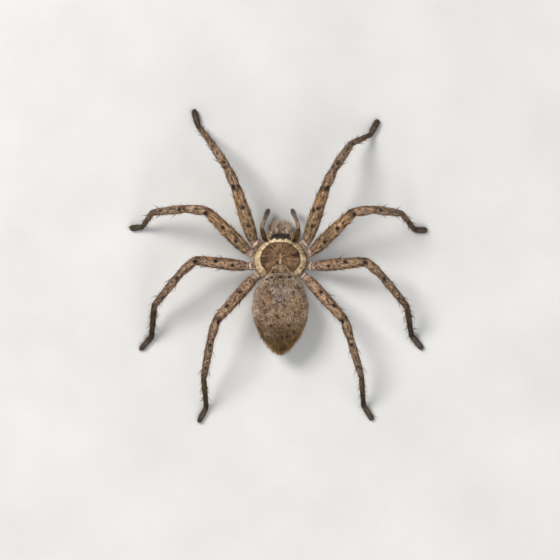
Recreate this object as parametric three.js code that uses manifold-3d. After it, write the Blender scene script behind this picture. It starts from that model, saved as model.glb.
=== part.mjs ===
// Huntsman spider: an adult female, life size, standing with her legs spread as she rests on bark.
// Millimetres, +Z up, head towards -Y, her left side towards +X, feet on z = 0.
import * as THREE from "three";
import { mergeVertices } from "three/addons/utils/BufferGeometryUtils.js";
import Module from "manifold-3d";

const wasm = await Module();
wasm.setup();

// Gaps between pieces that touch, and the shortest edge and the thinnest triangle that a cut may leave
const gap = 0.3;
const eyeGap = 0.15;
const shortestEdge = 0.012;
const thinnest = 0.002;

// Cephalothorax: the carapace is a low dome, and the head is a block that stands out of its front.
// Stations are a share of the length and a share of the greatest size.
const carapace = { front: -4.75, rear: 3.4, halfWidth: 6.1, rimZ: 5.0, topZ: 8.4, underZ: 4.3 };
const carapaceOutline = [
  [0, 0.48], [0.05, 0.66], [0.15, 0.8], [0.34, 0.95],
  [0.55, 1], [0.78, 0.92], [0.92, 0.76], [1, 0.6],
];
const carapaceCrest = [[0, 0.62], [0.2, 0.88], [0.45, 1], [0.7, 0.93], [0.9, 0.52], [1, 0.2]];
const head = {
  front: -6.45, rear: 1.2, halfWidth: 2.75, rimZ: 5.6, topZ: 8.25, underZ: 4.1, squareness: 2.6,
};
const headOutline = [[0, 0.86], [0.05, 0.97], [0.2, 1], [0.6, 0.8], [1, 0.35]];
const headCrest = [[0, 0.42], [0.06, 0.64], [0.18, 0.87], [0.5, 1], [0.8, 0.95], [1, 0.6]];
const sternum = { front: -4.1, rear: 2.6, halfWidth: 3.4, bottomZ: 2.5, topZ: 5.6 };
const sternumOutline = [[0, 0.5], [0.15, 0.8], [0.45, 1], [0.75, 0.85], [1, 0.4]];

// Eyes: the place of each across and along the head, its radius, and the share of it that stands proud
const eyes = {
  anterior_median: { x: 0.55, y: -6.2, radius: 0.3 },
  anterior_lateral: { x: 1.42, y: -6.05, radius: 0.42 },
  posterior_median: { x: 0.62, y: -5.25, radius: 0.3 },
  posterior_lateral: { x: 1.98, y: -5.3, radius: 0.38 },
};
const eyeProud = 0.45;

// Abdomen: an egg with a blunt front and a broad rear, on a short waist
const abdomen = { front: 2.85, rear: 20.0, halfWidth: 6.35, halfHeight: 4.6, frontZ: 6.7, rearZ: 5.6 };
const abdomenShape = { widestAt: 0.45, frontBlunt: 0.38, rearBlunt: 0.58 };
const waist = { from: 2.6, to: 5.0, z: 5.1, radius: 0.85 };
const spinnerets = {
  y: 19.6, z: 4.1, rootRadius: 0.95, spread: 0.5, length: 1.35, radius: 0.4, tipShare: 0.6,
};

// Jaws, fangs, mouthparts and feelers, each given for the left side
const jaw = { root: [1.5, -5.2, 5.6], tip: [1.14, -8.2, 2.0], bow: 0.75, tallness: 1.15 };
const jawHalfWidth = [[0, 1.15], [0.3, 1.36], [0.7, 1.22], [1, 0.78]];
const fang = { root: [1.8, -7.9, 1.75], bend: [1.2, -8.5, 0.8], tip: [0.3, -7.2, 0.95], radius: 0.36 };
const maxilla = { root: [2.0, -3.0, 3.5], tip: [1.05, -6.1, 3.2], halfHeight: 0.6 };
const maxillaHalfWidth = [[0, 0.7], [0.5, 0.75], [0.85, 0.95], [1, 0.7]];
const labium = { front: -5.3, rear: -3.4, halfWidth: 0.75, z: 3.2, halfHeight: 0.5 };
const palpRoot = [2.6, -3.9, 4.3];
const palp = [
  { length: 1.5, heading: 38, pitch: 5 },
  { length: 3.6, heading: 15, pitch: 47 },
  { length: 1.7, heading: -14, pitch: -4 },
  { length: 2.4, heading: -22, pitch: -48 },
  { length: 3.3, heading: -22, pitch: -66 },
];
const palpBaseHalfWidth = [[0, 0.6], [0.3, 0.56], [0.6, 0.64], [1, 0.52]];
const palpEndHalfWidth = [[0, 0.48], [0.15, 0.52], [0.35, 0.45], [0.65, 0.5], [0.9, 0.42], [1, 0.25]];

// Walking legs: the length of each part in each pair, with the hip's place on the left side and the girth
const hipZ = 4.3;
// Heights of the ankle's and the toe's middles for a girth of 1, so low that each foot has a small flat
const ankleHeight = 0.9;
const toeHeight = 0.49;
const pairs = [
  {
    hip: [6.0, -4.6], girth: 1.04,
    coxa: 3.6, femur: 14.8, patella: 4.4, tibia: 9.4, metatarsus: 7.3, tarsus: 3.8,
  },
  {
    hip: [7.2, -2.3], girth: 1.0,
    coxa: 3.6, femur: 15.3, patella: 4.6, tibia: 9.9, metatarsus: 7.1, tarsus: 2.9,
  },
  {
    hip: [7.35, 1.0], girth: 0.95,
    coxa: 3.7, femur: 13.4, patella: 4.1, tibia: 10.7, metatarsus: 9.0, tarsus: 3.9,
  },
  {
    hip: [5.7, 3.4], girth: 0.93,
    coxa: 3.6, femur: 14.6, patella: 4.2, tibia: 10.4, metatarsus: 8.7, tarsus: 3.9,
  },
];
// Poses in degrees: headings turn outwards from straight ahead, and pitches rise above the level.
// The metatarsus and tarsus come down to the ankle's and the toe's height, so those take a heading only.
const poses = {
  left: [
    { coxa: 52, femur: [18, 29.5], patella: [24, 5], tibia: [33, -33], metatarsus: 37, tarsus: 15 },
    { coxa: 78, femur: [45.5, 33], patella: [84, 2], tibia: [95, -38], metatarsus: 141, tarsus: 94 },
    { coxa: 100, femur: [83.5, 29], patella: [131, 0], tibia: [140, -26], metatarsus: 173, tarsus: 138 },
    { coxa: 130, femur: [138.5, 28], patella: [163, 0], tibia: [169, -28], metatarsus: 184, tarsus: 153 },
  ],
  right: [
    { coxa: 52, femur: [18.5, 31], patella: [26, 5], tibia: [33.5, -40.5], metatarsus: 63, tarsus: 28 },
    { coxa: 78, femur: [46, 35], patella: [83, 6], tibia: [96, -48.5], metatarsus: 139, tarsus: 91 },
    { coxa: 100, femur: [85, 28], patella: [131, 10], tibia: [140, -25], metatarsus: 169, tarsus: 140 },
    { coxa: 130, femur: [138, 28], patella: [163, 0], tibia: [163, -28], metatarsus: 175, tarsus: 147 },
  ],
};

// The leg's solids in order from the hip: the parts each one covers, its half width at shares of its
// length, how tall its section is for its width, its upward bow and its rings
const legSolids = {
  coxa: {
    parts: 1, halfWidth: [[0, 0.95], [0.45, 1.2], [0.66, 1.08], [0.84, 1.2], [1, 1.05]],
    tallness: 1.1, bow: 0, steps: 6,
  },
  femur: {
    parts: 1, halfWidth: [[0, 1.0], [0.12, 1.3], [0.35, 1.46], [0.7, 1.32], [1, 1.1]],
    tallness: 1.0, bow: 0.45, steps: 7,
  },
  tibia: {
    parts: 2, halfWidth: [[0, 1.06], [0.14, 1.2], [0.3, 0.95], [0.48, 1.02], [0.75, 0.93], [1, 0.76]],
    tallness: 1.0, bow: 0.2, steps: 10,
  },
  metatarsus: {
    parts: 1, halfWidth: [[0, 0.7], [0.15, 0.71], [0.6, 0.61], [1, 0.55]],
    tallness: 1.0, bow: 0.2, steps: 4,
  },
  tarsus: {
    parts: 1, halfWidth: [[0, 0.58], [0.35, 0.68], [0.8, 0.66], [1, 0.48]],
    tallness: 0.9, bow: 0, steps: 5,
  },
};
const legSides = 10;
const overrun = 0.9;

// Spines of each solid: share of its length, turn about it from the top in degrees, length
const spines = {
  femur: [[0.34, 0, 1.7], [0.64, 0, 1.8], [0.5, 78, 1.8], [0.8, 74, 1.7], [0.5, -78, 1.8], [0.8, -74, 1.7]],
  tibia: [
    [0.44, 0, 1.6], [0.78, 0, 1.5], [0.5, 84, 1.9], [0.82, 84, 1.9],
    [0.5, -84, 1.9], [0.82, -84, 1.9], [0.66, 150, 2.0], [0.66, -150, 2.0],
  ],
  metatarsus: [[0.22, 88, 1.9], [0.55, 88, 1.8], [0.22, -88, 1.9], [0.55, -88, 1.8]],
};
const spineForm = { radius: 0.27, sunk: 0.6, sides: 5, lean: 57, leanVaries: 7, lengthVaries: 0.14 };
const spineSeed = 41;

const looks = {
  carapace: { color: 0x7a5f45, roughness: 0.75 },
  abdomen: { color: 0x8d755b, roughness: 0.85 },
  leg: { color: 0x8f7257, roughness: 0.8 },
  foot: { color: 0x4f4740, roughness: 0.9 },
  jaw: { color: 0x75614e, roughness: 0.8 },
  fang: { color: 0x24130d, roughness: 0.3 },
  eye: { color: 0x0a0a0c, roughness: 0.1 },
};

const skyward = new THREE.Vector3(0, 0, 1);
const floorPoint = new THREE.Vector3(0, 0, 0);
const sides = { left: 1, right: -1 };
const radians = THREE.MathUtils.degToRad;
const degrees = THREE.MathUtils.radToDeg;
const { lerp, clamp } = THREE.MathUtils;

// A closed three.js geometry as a manifold-3d solid
function solidOf(geometry) {
  geometry.deleteAttribute("normal");
  geometry.deleteAttribute("uv");
  const merged = mergeVertices(geometry, 1e-4);
  return new wasm.Manifold(
    new wasm.Mesh({
      numProp: 3,
      vertProperties: merged.attributes.position.array,
      triVerts: new Uint32Array(merged.index.array),
    }),
  );
}

// The triangles that are left once each edge shorter than the shortest is drawn together to one point
function withoutShortEdges(positions, triangles) {
  const standsFor = Array.from({ length: positions.length / 3 }, (_, i) => i);
  const find = (i) => (standsFor[i] === i ? i : find(standsFor[i]));
  const point = (i) => new THREE.Vector3().fromArray(positions, 3 * i);
  const corners = (i) => [triangles[i], triangles[i + 1], triangles[i + 2]];
  const firsts = Array.from({ length: triangles.length / 3 }, (_, i) => 3 * i);
  for (const first of firsts) {
    const [a, b, c] = corners(first);
    for (const [from, to] of [[a, b], [b, c], [c, a]]) {
      if (point(from).distanceTo(point(to)) < shortestEdge) standsFor[find(to)] = find(from);
    }
  }
  const faces = firsts.map((first) => corners(first).map(find));
  const whole = faces.filter(([a, b, c]) => a !== b && b !== c && c !== a);
  const folded = (face) => whole.filter((other) => face.every((corner) => other.includes(corner))).length > 1;
  return whole.filter((face) => !folded(face));
}

// The triangles once each needle and its neighbour across its long edge are parted by their other diagonal
function withoutNeedles(positions, triangles) {
  const point = (i) => new THREE.Vector3().fromArray(positions, 3 * i);
  const lengthOf = (a, b) => point(a).distanceTo(point(b));
  const longestFirst = ([a, b, c]) =>
    [[a, b, c], [b, c, a], [c, a, b]].sort((p, q) => lengthOf(q[0], q[1]) - lengthOf(p[0], p[1]))[0];
  const thickness = (triangle) => {
    const [a, b] = longestFirst(triangle);
    const area = new THREE.Triangle(...triangle.map(point)).getArea();
    return (2 * area) / lengthOf(a, b);
  };
  const faces = triangles.map((triangle) => [...triangle]);
  const needles = faces.filter((face) => thickness(face) < thinnest);
  for (const needle of needles) {
    const [from, to, apex] = longestFirst(needle);
    const starts = (face) => face.findIndex((corner, i) => corner === to && face[(i + 1) % 3] === from);
    const neighbour = faces.find((face) => starts(face) >= 0);
    const far = neighbour[(starts(neighbour) + 2) % 3];
    const turned = [[from, far, apex], [far, to, apex]];
    const joined = faces.some((face) => face.includes(far) && face.includes(apex));
    if (joined || Math.min(...turned.map(thickness)) <= thickness(needle)) continue;
    needle.splice(0, 3, ...turned[0]);
    neighbour.splice(0, 3, ...turned[1]);
  }
  return faces;
}

// The largest closed surface of a solid, as a named mesh
function meshOf(name, solid, look) {
  const largest = solid.decompose().sort((a, b) => b.volume() - a.volume())[0];
  const { vertProperties, triVerts } = largest.getMesh();
  const geometry = new THREE.BufferGeometry();
  geometry.setAttribute("position", new THREE.BufferAttribute(vertProperties.slice(), 3));
  geometry.setIndex(withoutNeedles(vertProperties, withoutShortEdges(vertProperties, triVerts)).flat());
  geometry.computeVertexNormals();
  const mesh = new THREE.Mesh(geometry, new THREE.MeshStandardMaterial({ ...looks[look], metalness: 0 }));
  mesh.name = name;
  return mesh;
}

// A size that runs smoothly through its stations, each a share of the length and a value
function through(stations, share) {
  const slope = (i) => {
    const before = stations[Math.max(i - 1, 0)];
    const after = stations[Math.min(i + 1, stations.length - 1)];
    return (after[1] - before[1]) / (after[0] - before[0]);
  };
  const s = clamp(share, 0, 1);
  const i = Math.max(stations.findLastIndex((station) => station[0] < s), 0);
  const [s0, v0] = stations[i];
  const [s1, v1] = stations[i + 1];
  const span = s1 - s0;
  const u = (s - s0) / span;
  const v = 1 - u;
  const bend = span * u * v * (slope(i) * v - slope(i + 1) * u);
  return v0 * (1 + 2 * u) * v * v + v1 * (1 + 2 * v) * u * u + bend;
}

// A closed tube, each point of which is placed by its share of the length and its x and z on the unit circle
function shaped(around, along, place) {
  const geometry = new THREE.CylinderGeometry(1, 1, 1, around, along);
  const at = geometry.attributes.position;
  for (let i = 0; i < at.count; i++) {
    const spot = place(clamp(at.getY(i) + 0.5, 0, 1), at.getX(i), at.getZ(i));
    at.setXYZ(i, spot.x, spot.y, spot.z);
  }
  return solidOf(geometry);
}

// The directions across a curve at a share of it: to the side, up, and along
function axesAt(curve, share) {
  const along = curve.getTangent(share);
  const side = new THREE.Vector3().crossVectors(along, skyward).normalize();
  return { side, up: new THREE.Vector3().crossVectors(side, along), along };
}

// A tapering limb along a curve, with its half width and half height at a share of the curve
function limb(curve, halfWidth, halfHeight, around, along) {
  return shaped(around, along, (t, x, z) => {
    const { side, up } = axesAt(curve, t);
    return curve
      .getPoint(t)
      .addScaledVector(side, x * halfWidth(t))
      .addScaledVector(up, z * halfHeight(t));
  });
}

// A ball with its poles up and down
function ball(centre, radius, around, rings) {
  const geometry = new THREE.SphereGeometry(radius, around, rings);
  return solidOf(geometry.rotateX(Math.PI / 2).translate(centre.x, centre.y, centre.z));
}

const onSide = ([x, y, z], side) => new THREE.Vector3(x * side, y, z);

// A unit direction from a heading, turned from straight ahead to one side, and a pitch above the level
function direction(heading, pitch, side) {
  const level = Math.cos(radians(pitch));
  const turn = radians(heading);
  return new THREE.Vector3(side * Math.sin(turn) * level, -Math.cos(turn) * level, Math.sin(radians(pitch)));
}

// What lies beyond a point along a normal
function beyond(solid, point, normal, clearance) {
  return solid.trimByPlane(normal.toArray(), normal.dot(point) + clearance);
}

// What lies short of a point along a normal
function shortOf(solid, point, normal, clearance) {
  return beyond(solid, point, normal.clone().negate(), clearance);
}

// A rounded block that runs from front to rear, with its own outline and its own rise at each share of it
function block({ front, rear }, around, along, grow, section) {
  return shaped(around, along, (t, x, z) => {
    const { halfWidth, middle, above, below, squareness = 2 } = section(t);
    const reach = (Math.abs(x) ** squareness + Math.abs(z) ** squareness) ** (1 / squareness);
    const push = reach > 0 ? Math.hypot(x, z) / reach : 0;
    const rise = z > 0 ? above + grow : below + grow;
    const y = lerp(front - grow, rear + grow, t);
    return new THREE.Vector3(x * push * (halfWidth + grow), y, middle + z * push * rise);
  });
}

function carapaceDome(grow) {
  const { halfWidth, rimZ, topZ, underZ } = carapace;
  return block(carapace, 32, 12, grow, (t) => ({
    halfWidth: halfWidth * through(carapaceOutline, t),
    middle: rimZ,
    above: (topZ - rimZ) * through(carapaceCrest, t),
    below: rimZ - underZ,
  }));
}

function headBlock(grow) {
  const { halfWidth, rimZ, topZ, underZ, squareness } = head;
  return block(head, 20, 12, grow, (t) => ({
    halfWidth: halfWidth * through(headOutline, t),
    middle: rimZ,
    above: (topZ - rimZ) * through(headCrest, t),
    below: rimZ - underZ,
    squareness,
  }));
}

// The height of the head's surface over a place on it
function headSurface(x, y) {
  const t = (y - head.front) / (head.rear - head.front);
  const across = Math.abs(x) / (head.halfWidth * through(headOutline, t));
  const rise = (head.topZ - head.rimZ) * through(headCrest, t);
  return head.rimZ + rise * (1 - across ** head.squareness) ** (1 / head.squareness);
}

// The sternum and the flesh above it, which the hips stand against
function sternumBlock(grow) {
  const { halfWidth, bottomZ, topZ } = sternum;
  return block(sternum, 16, 6, grow, (t) => ({
    halfWidth: halfWidth * through(sternumOutline, t),
    middle: (topZ + bottomZ) / 2,
    above: (topZ - bottomZ) / 2,
    below: (topZ - bottomZ) / 2,
  }));
}

const cephalothoraxSolid = (grow) => carapaceDome(grow).add(headBlock(grow)).add(sternumBlock(grow));
const clearOfCephalothorax = cephalothoraxSolid(gap);

// One eye's centre, sunk so that only its proud share shows
function eyeCentre({ x, y, radius }, side) {
  return new THREE.Vector3(side * x, y, headSurface(x, y) - radius * (1 - 2 * eyeProud));
}

// The abdomen's size at a share of its length, as a share of its greatest
function abdomenSwell(t) {
  const { widestAt, frontBlunt, rearBlunt } = abdomenShape;
  const skew = Math.log(0.5) / Math.log(widestAt);
  return Math.sin(Math.PI * t ** skew) ** (t < widestAt ? frontBlunt : rearBlunt);
}

function abdomenEgg(grow) {
  const { front, rear, halfWidth, halfHeight, frontZ, rearZ } = abdomen;
  return shaped(28, 16, (t, x, z) => {
    const u = clamp((1 - Math.cos(Math.PI * t)) / 2, 0.004, 0.996);
    const swell = abdomenSwell(u);
    const y = lerp(front - grow, rear + grow, u);
    const rise = z * (halfHeight * swell + grow);
    return new THREE.Vector3(x * (halfWidth * swell + grow), y, lerp(frontZ, rearZ, u) + rise);
  });
}

function abdomenSolid() {
  const { from, to, z, radius } = waist;
  const line = new THREE.LineCurve3(new THREE.Vector3(0, from, z), new THREE.Vector3(0, to, z));
  const neck = limb(line, () => radius, () => radius, 10, 1);
  return abdomenEgg(0).add(neck).subtract(clearOfCephalothorax);
}

// Four cones at the tip of the abdomen, joined by their roots
function spinneretCluster() {
  const { y, z, rootRadius, spread, length, radius, tipShare } = spinnerets;
  let cluster = ball(new THREE.Vector3(0, y, z), rootRadius, 8, 6);
  for (const across of [-1, 1]) {
    for (const up of [-1, 1]) {
      const from = new THREE.Vector3(across * spread * 0.8, y, z + up * spread * 0.5);
      const to = new THREE.Vector3(across * spread * 1.1, y + length, z + up * spread * 0.7 - 0.3);
      const taper = (t) => radius * lerp(1, tipShare, t);
      cluster = cluster.add(limb(new THREE.LineCurve3(from, to), taper, taper, 6, 1));
    }
  }
  return cluster.subtract(abdomenEgg(gap));
}

function jawLimb(side, grow) {
  const root = onSide(jaw.root, side);
  const tip = onSide(jaw.tip, side);
  const middle = root.clone().lerp(tip, 0.45).add(new THREE.Vector3(0, -jaw.bow, jaw.bow));
  const curve = new THREE.QuadraticBezierCurve3(root, middle, tip);
  const half = (t) => through(jawHalfWidth, t);
  return limb(curve, (t) => half(t) + grow, (t) => jaw.tallness * half(t) + grow, 12, 7);
}

function fangLimb(side, grow) {
  const stops = [fang.root, fang.bend, fang.tip].map((point) => onSide(point, side));
  const curve = new THREE.QuadraticBezierCurve3(...stops);
  const half = (t) => fang.radius * (1 - 0.8 * t) + grow;
  return limb(curve, half, half, 8, 6);
}

function jawSolid(side) {
  const midline = new THREE.Vector3(side, 0, 0);
  const oneSide = beyond(jawLimb(side, 0), floorPoint, midline, gap / 2);
  return oneSide.subtract(clearOfCephalothorax).subtract(fangLimb(side, gap));
}

// The lip between the two plates that flank the mouth, as one piece under the head
function mouthpartsSolid() {
  const { front, rear, halfWidth, z, halfHeight } = labium;
  const line = new THREE.LineCurve3(new THREE.Vector3(0, rear, z), new THREE.Vector3(0, front, z));
  let piece = limb(line, () => halfWidth, () => halfHeight, 8, 1);
  for (const side of Object.values(sides)) {
    const curve = new THREE.LineCurve3(onSide(maxilla.root, side), onSide(maxilla.tip, side));
    piece = piece.add(limb(curve, (t) => through(maxillaHalfWidth, t), () => maxilla.halfHeight, 8, 4));
  }
  for (const side of Object.values(sides)) piece = piece.subtract(jawLimb(side, gap));
  return piece.subtract(clearOfCephalothorax);
}

// The joints of a limb: from its root, each part runs its own length along its own direction
function jointsOf(root, parts, side) {
  const points = [root];
  const ways = parts.map(({ length, heading, pitch }) => {
    const way = direction(heading, pitch, side);
    points.push(points.at(-1).clone().addScaledVector(way, length));
    return way;
  });
  return { points, ways };
}

// The bent line of the parts between two joints, run on past both ends
function lineBetween({ points, ways }, first, last, bow) {
  const stops = [points[first].clone().addScaledVector(ways[first], -overrun)];
  for (let i = first; i < last; i++) {
    const { up } = axesAt(new THREE.LineCurve3(points[i], points[i + 1]), 0);
    stops.push(points[i].clone().lerp(points[i + 1], 0.5).addScaledVector(up, bow));
    if (i + 1 < last) stops.push(points[i + 1].clone());
  }
  stops.push(points[last].clone().addScaledVector(ways[last - 1], overrun));
  return new THREE.CatmullRomCurve3(stops, false, "centripetal");
}

// The length from joint to joint, without the overrun
const trueLength = ({ points }, first, last) =>
  points.slice(first, last).reduce((sum, point, i) => sum + point.distanceTo(points[first + i + 1]), 0);

// A solid over the parts between two joints, cut square to each joint half a gap short of it
function jointed(joints, first, last, halfWidth, { tallness = 1, bow = 0, around = 8, steps }) {
  const curve = lineBetween(joints, first, last, bow);
  const length = trueLength(joints, first, last);
  const share = (t) => (t * (length + 2 * overrun) - overrun) / length;
  const half = (t) => through(halfWidth, share(t));
  const solid = limb(uniform(curve), half, (t) => tallness * half(t), around, steps);
  return cutAtJoints(solid, joints, first, last);
}

// A curve read by its length, so that its rings are evenly spaced
function uniform(curve) {
  return { getPoint: (t) => curve.getPointAt(t), getTangent: (t) => curve.getTangentAt(t) };
}

function cutAtJoints(solid, { points, ways }, first, last) {
  const mitre = (joint) => ways[joint - 1].clone().add(ways[joint]).normalize();
  let cut = solid;
  if (first > 0) cut = beyond(cut, points[first], mitre(first), gap / 2);
  if (last < ways.length) cut = shortOf(cut, points[last], mitre(last), gap / 2);
  return cut;
}

// A repeatable random number from -1 to 1
function seededRandom(seed) {
  let state = seed;
  return () => {
    state = (state * 1664525 + 1013904223) % 4294967296;
    return (2 * state) / 4294967296 - 1;
  };
}

// Stiff tapering spines that lean towards the foot, their roots sunk in the leg
function withSpines(solid, joints, first, last, name, girth, random) {
  const { halfWidth, bow } = legSolids[name];
  const { radius, sunk, sides: around, lean, leanVaries, lengthVaries } = spineForm;
  const curve = uniform(lineBetween(joints, first, last, bow));
  const length = trueLength(joints, first, last);
  let spiny = solid;
  for (const [share, turn, reach] of spines[name]) {
    const t = (share * length + overrun) / (length + 2 * overrun);
    const { side, up, along } = axesAt(curve, t);
    const out = up.multiplyScalar(Math.cos(radians(turn))).addScaledVector(side, Math.sin(radians(turn)));
    const tilt = radians(lean + leanVaries * random());
    const way = out.clone().multiplyScalar(Math.cos(tilt)).addScaledVector(along, Math.sin(tilt));
    const height = reach * (1 + lengthVaries * random()) + sunk;
    const foot = curve
      .getPoint(t)
      .addScaledVector(out, girth * through(halfWidth, share))
      .addScaledVector(way, -sunk);
    const cone = new THREE.ConeGeometry(radius, height, around).translate(0, height / 2, 0);
    cone.applyQuaternion(new THREE.Quaternion().setFromUnitVectors(new THREE.Vector3(0, 1, 0), way));
    spiny = spiny.add(solidOf(cone.translate(foot.x, foot.y, foot.z)));
  }
  return spiny;
}

// The joints of one walking leg, from its root under the carapace to its toe
function legJoints(number, sideName) {
  const side = sides[sideName];
  const pair = pairs[number];
  const pose = poses[sideName][number];
  const root = onSide([...pair.hip, hipZ], side).addScaledVector(direction(pose.coxa, 0, side), -pair.coxa);
  const bent = ["femur", "patella", "tibia"].map((name) => ({
    length: pair[name],
    heading: pose[name][0],
    pitch: pose[name][1],
  }));
  const ankleZ = ankleHeight * pair.girth;
  const toeZ = toeHeight * pair.girth;
  const shinEndZ = bent.reduce((z, { length, pitch }) => z + length * Math.sin(radians(pitch)), hipZ);
  const fall = (drop, length) => -degrees(Math.asin(drop / length));
  const parts = [
    { length: pair.coxa, heading: pose.coxa, pitch: 0 },
    ...bent,
    { length: pair.metatarsus, heading: pose.metatarsus, pitch: fall(shinEndZ - ankleZ, pair.metatarsus) },
    { length: pair.tarsus, heading: pose.tarsus, pitch: fall(ankleZ - toeZ, pair.tarsus) },
  ];
  return jointsOf(root, parts, side);
}

// A coxa kept on its own side of the upright plane halfway to a neighbouring leg's
function clearOfNeighbour(coxa, joints, neighbour) {
  const halfway = (i) => joints.points[i].clone().lerp(neighbour.points[i], 0.5);
  const across = halfway(1).sub(halfway(0)).cross(skyward).normalize();
  if (across.dot(joints.points[1].clone().sub(halfway(1))) < 0) across.negate();
  return beyond(coxa, halfway(1), across, gap / 2);
}

const spider = new THREE.Group();
const add = (name, solid, look) => spider.add(meshOf(name, solid, look));

function addHead() {
  let shell = cephalothoraxSolid(0);
  for (const [name, eye] of Object.entries(eyes)) {
    for (const [sideName, side] of Object.entries(sides)) {
      const centre = eyeCentre(eye, side);
      add(`eye_${name}_${sideName}`, ball(centre, eye.radius, 9, 7), "eye");
      shell = shell.subtract(ball(centre, eye.radius + eyeGap, 8, 6));
    }
  }
  add("cephalothorax", shell, "carapace");
  add("mouthparts", mouthpartsSolid(), "jaw");
}

function addPalp(sideName) {
  const side = sides[sideName];
  const joints = jointsOf(onSide(palpRoot, side), palp, side);
  const base = jointed(joints, 0, 2, palpBaseHalfWidth, { steps: 6 });
  add(`palp_${sideName}_base`, base.subtract(clearOfCephalothorax), "leg");
  add(`palp_${sideName}_end`, jointed(joints, 2, 5, palpEndHalfWidth, { steps: 10 }), "leg");
}

function addLegs(sideName) {
  const legs = pairs.map((pair, number) => legJoints(number, sideName));
  const random = seededRandom(spineSeed);
  legs.forEach((joints, number) => {
    const { girth } = pairs[number];
    let first = 0;
    for (const [name, form] of Object.entries(legSolids)) {
      const last = first + form.parts;
      const halfWidth = form.halfWidth.map(([share, half]) => [share, half * girth]);
      let solid = jointed(joints, first, last, halfWidth, { ...form, around: legSides });
      if (spines[name]) solid = withSpines(solid, joints, first, last, name, girth, random);
      if (name === "coxa") {
        for (const neighbour of [legs[number - 1], legs[number + 1]].filter(Boolean)) {
          solid = clearOfNeighbour(solid, joints, neighbour);
        }
        solid = solid.subtract(clearOfCephalothorax);
      }
      if (name === "tarsus") solid = beyond(solid, floorPoint, skyward, 0);
      add(`leg${number + 1}_${sideName}_${name}`, solid, name === "tarsus" ? "foot" : "leg");
      first = last;
    }
  });
}

addHead();
add("abdomen", abdomenSolid(), "abdomen");
add("spinnerets", spinneretCluster(), "abdomen");
for (const [sideName, side] of Object.entries(sides)) {
  add(`chelicera_${sideName}`, jawSolid(side), "jaw");
  add(`fang_${sideName}`, fangLimb(side, 0), "fang");
  addPalp(sideName);
  addLegs(sideName);
}

// The origin is on the floor, under the middle of the whole spread
const middle = new THREE.Box3().setFromObject(spider).getCenter(new THREE.Vector3());
spider.position.set(-middle.x, -middle.y, 0);

export default spider;
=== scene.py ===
import math

import bpy
import numpy as np
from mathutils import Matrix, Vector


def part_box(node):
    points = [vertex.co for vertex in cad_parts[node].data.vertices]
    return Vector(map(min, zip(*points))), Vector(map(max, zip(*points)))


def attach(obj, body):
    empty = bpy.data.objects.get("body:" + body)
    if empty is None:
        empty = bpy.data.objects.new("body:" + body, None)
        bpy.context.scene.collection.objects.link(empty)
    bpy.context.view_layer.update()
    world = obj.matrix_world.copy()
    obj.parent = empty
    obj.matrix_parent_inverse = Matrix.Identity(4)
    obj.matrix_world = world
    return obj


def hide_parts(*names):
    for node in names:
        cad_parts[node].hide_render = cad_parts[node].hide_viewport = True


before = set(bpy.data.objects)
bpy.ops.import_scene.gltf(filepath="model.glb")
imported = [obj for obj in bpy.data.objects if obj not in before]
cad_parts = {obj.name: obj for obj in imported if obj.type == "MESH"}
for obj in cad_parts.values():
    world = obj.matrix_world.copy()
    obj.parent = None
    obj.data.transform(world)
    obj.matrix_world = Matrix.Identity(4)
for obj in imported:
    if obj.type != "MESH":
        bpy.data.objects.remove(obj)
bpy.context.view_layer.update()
mm = 0.001
headLow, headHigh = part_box("cephalothorax")
headFront = 6.45  # mm from the middle of the carapace to the head's front edge
# body measures are in mm from the middle of the carapace; this moves them into the frame
bodyShift = np.array([(headLow.x + headHigh.x) / 2 / mm, headLow.y / mm + headFront, 0.0])

# the camera looks straight down on the back, all in mm
view = {"across": 126.0, "lookAt": (0.07, 4.05, 5.0), "height": 600.0, "sensor": 36.0, "nearest": 10.0}


def addCamera():
    camera = bpy.data.objects.new("camera", bpy.data.cameras.new("camera"))
    camera.data.sensor_width = view["sensor"]
    camera.data.lens = view["height"] * view["sensor"] / view["across"]
    camera.data.clip_start = view["nearest"] * mm
    spot = np.array(view["lookAt"]) + bodyShift + (0, 0, view["height"])
    camera.location = spot * mm
    camera.rotation_euler = (0, 0, math.pi)  # straight down, the head towards the top of the picture
    bpy.context.scene.collection.objects.link(camera)
    bpy.context.scene.camera = camera


lamps = {  # name: place in mm from the spider, size in mm, watts, warmth
    "key": ((400, -330, 600), 300, 7.8, (1.0, 0.97, 0.93)),
    "fill": ((-520, 160, 480), 600, 2.2, (0.93, 0.96, 1.0)),
    "rear": ((-60, 560, 420), 500, 3.0, (1.0, 0.98, 0.96)),
}
daylight = {"colour": (0.93, 0.96, 1.0, 1), "strength": 0.43}


def addLights():
    for name, (place, size, watts, colour) in lamps.items():
        lamp = bpy.data.lights.new(name, "AREA")
        lamp.size = size * mm
        lamp.energy = watts
        lamp.color = colour
        holder = bpy.data.objects.new(name, lamp)
        holder.location = np.array(place) * mm
        towards = -holder.location.normalized()
        holder.rotation_euler = towards.to_track_quat("-Z", "Y").to_euler()
        bpy.context.scene.collection.objects.link(holder)
    world = bpy.data.worlds.new("daylight")
    world.use_nodes = True
    background = world.node_tree.nodes["Background"]
    background.inputs["Color"].default_value = daylight["colour"]
    background.inputs["Strength"].default_value = daylight["strength"]
    bpy.context.scene.world = world
    bpy.context.scene.view_settings.view_transform = "Standard"


def hue(red, green, blue):  # screen colour 0 to 255 as linear light
    share = np.array([red, green, blue]) / 255
    return np.where(share <= 0.04045, share / 12.92, ((share + 0.055) / 1.055) ** 2.4)


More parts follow.
